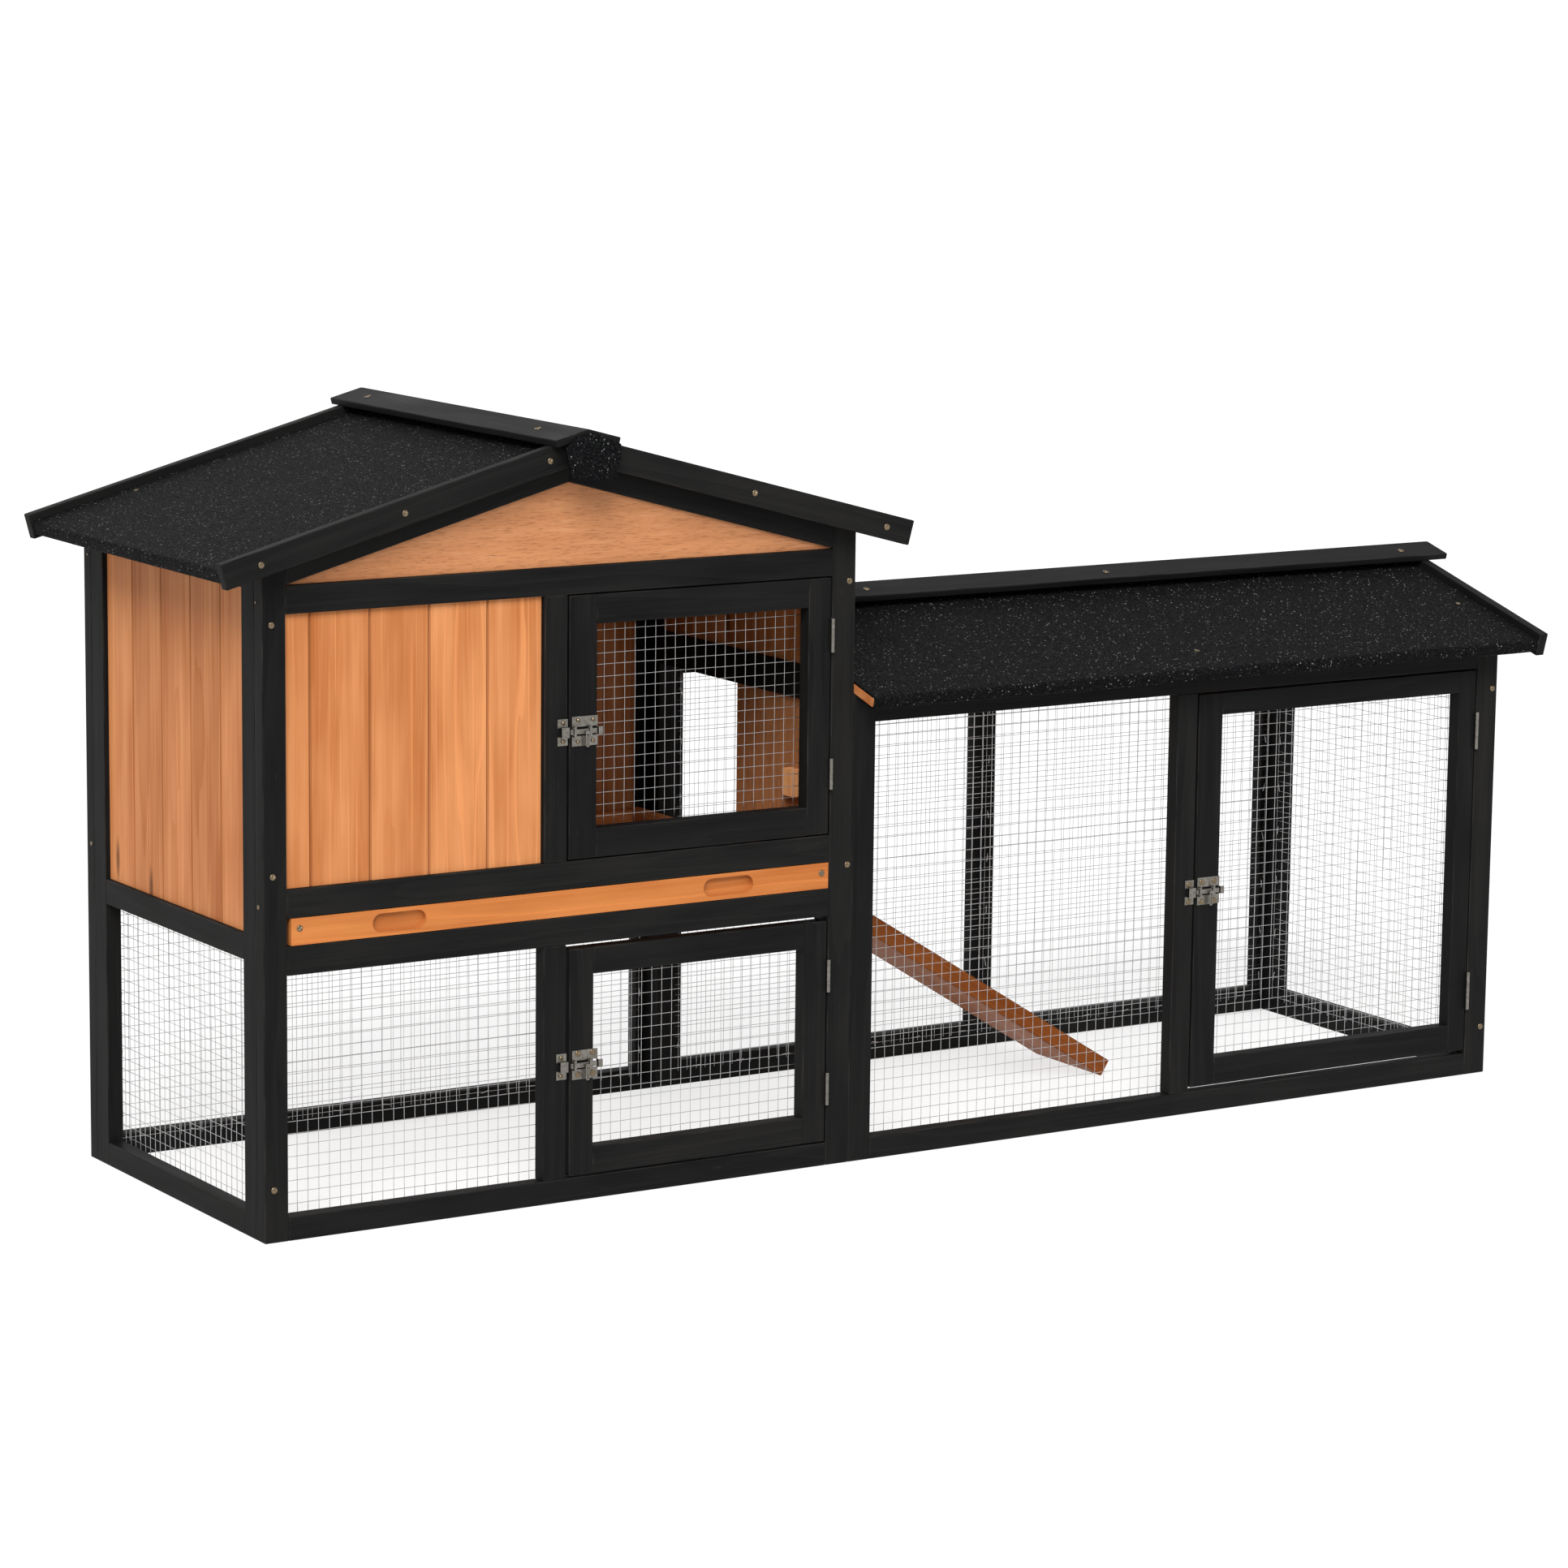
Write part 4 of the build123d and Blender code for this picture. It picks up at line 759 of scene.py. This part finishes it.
def add_wires(gathered, low, high, thin, flat, seed):
    """Upright and level wires in two layers that bulge together, a little unevenly."""
    middle = (low[thin] + high[thin]) / 2
    reference = Vector([1.0 if axis == thin else 0.0 for axis in range(3)])

    def bulge(along, up):
        across = math.sin(math.pi * (along - low[flat]) / (high[flat] - low[flat]))
        upward = math.sin(math.pi * (up - low[2]) / (high[2] - low[2]))
        uneven = noise.noise(Vector((along * BULGE_WAVES, up * BULGE_WAVES, seed)))
        return SHEET_BULGE * across * upward * uneven

    for axis, other, layer in ((2, flat, -WIRE_LAYER), (flat, 2, WIRE_LAYER)):
        stops = wire_places(low[axis], high[axis])
        for place in wire_places(low[other], high[other]):
            shift = random.uniform(-WIRE_SWAY, WIRE_SWAY)
            path = []
            for stop in [low[axis]] + stops[1:-1] + [high[axis]]:
                wave = Vector((stop * SWAY_WAVES[0], place * SWAY_WAVES[1], seed + axis))
                sway = WIRE_SWAY * noise.noise(wave)
                point = Vector((0, 0, 0))
                point[axis] = stop
                point[other] = place + shift + sway
                point[thin] = middle + layer + bulge(point[flat], point[2])
                path.append(point)
            add_tube(gathered, path, WIRE_R, reference)


def add_staples(gathered, low, high, thin, flat, outward):
    """Staples round a sheet's border, with their legs in the frame."""
    surface = high[thin] if outward < 0 else low[thin]
    for axis, other in ((flat, 2), (2, flat)):
        length = high[axis] - low[axis]
        count = max(2, round(length / STAPLE_PITCH))
        for border in (low[other] + STAPLE_INSET, high[other] - STAPLE_INSET):
            for index in range(count):
                shift = random.uniform(-STAPLE_SHIFT, STAPLE_SHIFT)
                middle = low[axis] + length * (index + 0.5) / count + shift
                tilt = random.uniform(-STAPLE_TILT, STAPLE_TILT)
                path = []
                for share, inward in STAPLE_LINE:
                    point = Vector((0, 0, 0))
                    point[axis] = middle + share * STAPLE_WIDTH / 2
                    point[other] = border + share * tilt
                    point[thin] = surface + outward * inward
                    path.append(point)
                reference = Vector([1.0 if index == other else 0.0 for index in range(3)])
                add_tube(gathered, path, STAPLE_R, reference)


def wire_piece(node):
    gathered = Gathered()
    node_low, node_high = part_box(node)
    for seed, shape in enumerate(solid_shapes(node)):
        low, high, thin, flat = sheet_axes(shape)
        shape.free()
        outward = 1 if low[thin] + high[thin] > node_low[thin] + node_high[thin] + 0.01 else -1
        add_wires(gathered, low, high, thin, flat, seed * 5.3)
        add_staples(gathered, low, high, thin, flat, outward)
    stand_for(gathered.piece(node + "_wires", MATERIALS["wire"]), node)


# ---- roofing felt ----
def felt_line(reach, pitch):
    """Middle line of the felt down one slope: (distance down the slope, height above the
    boards' underside) and the direction square to it, round the eave and back under."""
    top = BOARD_T + FELT_T / 2
    under = -FELT_T / 2
    eave = (reach - (BOARD_T + FELT_T) * math.sin(pitch)) / math.cos(pitch) - FELT_T / 2
    line = []
    steps = int(eave / FELT_STEP)
    ridge = -top * math.tan(pitch)
    for index in range(steps + 1):
        down = ridge + (eave - FELT_FOLD - ridge) * index / steps
        line.append((down, top, (0.0, 1.0)))
    for centre_height, first in ((top - FELT_FOLD, 90.0), (under + FELT_FOLD, 0.0)):
        for index in range(1, FOLD_STEPS + 1):
            angle = math.radians(first - 90.0 * index / FOLD_STEPS)
            square = (math.cos(angle), math.sin(angle))
            down = eave - FELT_FOLD + FELT_FOLD * square[0]
            line.append((down, centre_height + FELT_FOLD * square[1], square))
    for index in range(1, TUCK_STEPS + 1):
        line.append((eave - FELT_FOLD - FELT_TUCK * index / TUCK_STEPS, under, (0.0, -1.0)))
    return line


def add_felt_slope(gathered, line, place_at, start, end, seed):
    """Sheet along the ridge from start to end; place_at turns slope distances into a point."""
    rows = int((end - start) / FELT_STEP)
    wide = len(line)
    points, faces = [], []
    for side in (0.5, -0.5):
        for row in range(rows + 1):
            along = start + (end - start) * row / rows
            for down, height, square in line:
                fall = down * FELT_BROAD[1] + height * FELT_BROAD[1]
                broad = noise.noise(Vector((along * FELT_BROAD[0], fall, seed)))
                fine = noise.noise(Vector((along * FELT_FINE, down * FELT_FINE, seed + 7.0)))
                lift = FELT_LIFT * (0.5 + 0.42 * broad + 0.16 * fine) + side * FELT_T
                points.append(place_at(along, down + square[0] * lift, height + square[1] * lift))
    back = (rows + 1) * wide
    for row in range(rows):
        for column in range(wide - 1):
            first = row * wide + column
            face = [first, first + 1, first + wide + 1, first + wide]
            faces.append(face)
            faces.append([back + index for index in reversed(face)])
    for row in range(rows):
        for column in (0, wide - 1):
            first = row * wide + column
            rim = [first, first + wide, back + first + wide, back + first]
            faces.append(rim if column == 0 else rim[::-1])
    for column in range(wide - 1):
        for row in (0, rows):
            first = row * wide + column
            rim = [first + 1, first, back + first, back + first + 1]
            faces.append(rim if row == 0 else rim[::-1])
    gathered.add(points, faces)


def felt_roof(node, pitch, ridge_axis):
    """Both slopes of one roof. ridge_axis is the axis that its ridge runs along."""
    low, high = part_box(node)
    slope_axis = 1 - ridge_axis
    ridge = (low[slope_axis] + high[slope_axis]) / 2
    reach = (high[slope_axis] - low[slope_axis]) / 2
    board_under = high[2] - (BOARD_T + FELT_T) / math.cos(pitch)
    line = felt_line(reach, pitch)
    gathered = Gathered()
    for seed, side in enumerate((-1, 1)):

        def place_at(along, down, height):
            point = Vector((0, 0, 0))
            point[ridge_axis] = along
            point[slope_axis] = ridge + side * (down * math.cos(pitch) + height * math.sin(pitch))
            point[2] = board_under - down * math.sin(pitch) + height * math.cos(pitch)
            return point

        add_felt_slope(gathered, line, place_at, low[ridge_axis], high[ridge_axis], seed * 3.7)
    piece = gathered.piece(node + "_sheet", MATERIALS["felt"])
    tidy_normals(piece)
    stand_for(piece, node)


def tidy_normals(piece):
    """Turns every face outward and softens only the gentle edges."""
    shape = bmesh.new()
    shape.from_mesh(piece.data)
    bmesh.ops.recalc_face_normals(shape, faces=shape.faces)
    for edge in shape.edges:
        edge.smooth = not edge.is_manifold or edge.calc_face_angle() < GENTLE
    shape.to_mesh(piece.data)
    shape.free()


def end_flap():
    """Felt flap over the front end of the ridge cap, softened and a little uneven."""
    node = "ridge_end_flap"
    gathered = Gathered()
    low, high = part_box(node)
    for shape in solid_shapes(node):
        round_edges(shape, FLAP_EDGE)
        bmesh.ops.triangulate(shape, faces=[face for face in shape.faces if len(face.verts) > 4])
        bmesh.ops.subdivide_edges(shape, edges=shape.edges, cuts=3, use_grid_fill=True)
        for vert in shape.verts:
            down = (high[2] - vert.co.z) / (high[2] - low[2])
            wave = noise.noise(Vector((vert.co.x * FLAP_WAVES, vert.co.z * FLAP_WAVES, 2.0)))
            vert.co.y -= FLAP_HANG * down * down + FLAP_WAVE * (wave + 0.5)
        gathered.add_shape(shape)
    piece = gathered.piece(node + "_sheet", MATERIALS["felt"])
    tidy_normals(piece)
    stand_for(piece, node)


# ---- camera and stage ----
def make_camera():
    data = bpy.data.cameras.new("camera")
    data.sensor_width = SENSOR
    data.lens = CAMERA_LENS
    data.clip_end = CAMERA_REACH
    camera = bpy.data.objects.new("camera", data)
    camera.location = CAMERA_PLACE
    camera.rotation_euler = [math.radians(angle) for angle in CAMERA_TURN]
    bpy.context.scene.collection.objects.link(camera)
    bpy.context.scene.camera = camera


def soft_light(name, place, spread, strength):
    """Broad, even light that comes from the direction of a place."""
    data = bpy.data.lights.new(name, "SUN")
    data.angle = math.radians(spread)
    data.energy = strength
    light = bpy.data.objects.new(name, data)
    light.location = place
    light.rotation_euler = (-Vector(place)).to_track_quat("-Z", "Y").to_euler()
    bpy.context.scene.collection.objects.link(light)


def make_stage():
    """Pale floor with low walls of the same tone far away, under soft light."""
    mesh = bpy.data.meshes.new("floor")
    ring = [(-1, -1), (1, -1), (1, 1), (-1, 1)]
    corners = [(x * FLOOR_HALF, y * FLOOR_HALF, height) for height in (0, WALL_HEIGHT) for x, y in ring]
    walls = [(side, side + 4, (side + 1) % 4 + 4, (side + 1) % 4) for side in range(4)]
    mesh.from_pydata(corners, [], [(0, 1, 2, 3)] + walls)
    mesh.materials.append(pale_floor())
    floor = bpy.data.objects.new("floor", mesh)
    bpy.context.scene.collection.objects.link(floor)
    world = bpy.data.worlds.new("studio")
    world.use_nodes = True
    sky = world.node_tree.nodes["Background"]
    sky.inputs["Color"].default_value = (1.0, 1.0, 1.0, 1.0)
    sky.inputs["Strength"].default_value = SKY_STRENGTH
    bpy.context.scene.world = world
    bpy.context.scene.view_settings.view_transform = "Standard"
    for light in LIGHTS:
        soft_light(*light)


# ---- build ----
make_camera()
make_stage()
for node_name, slot_name in SLOT_OF.items():
    if slot_name in ("black_wood", "orange_wood", "plywood"):
        timber_piece(node_name, OWN_WOOD.get(node_name, MATERIALS[slot_name]))
    elif slot_name == "wire":
        wire_piece(node_name)
    elif slot_name == "screw":
        screw_piece(node_name)
    elif slot_name == "zinc":
        hardware_piece(node_name)
felt_roof("house_roof_felt", HOUSE_PITCH, 1)
felt_roof("run_roof_felt", RUN_PITCH, 0)
end_flap()
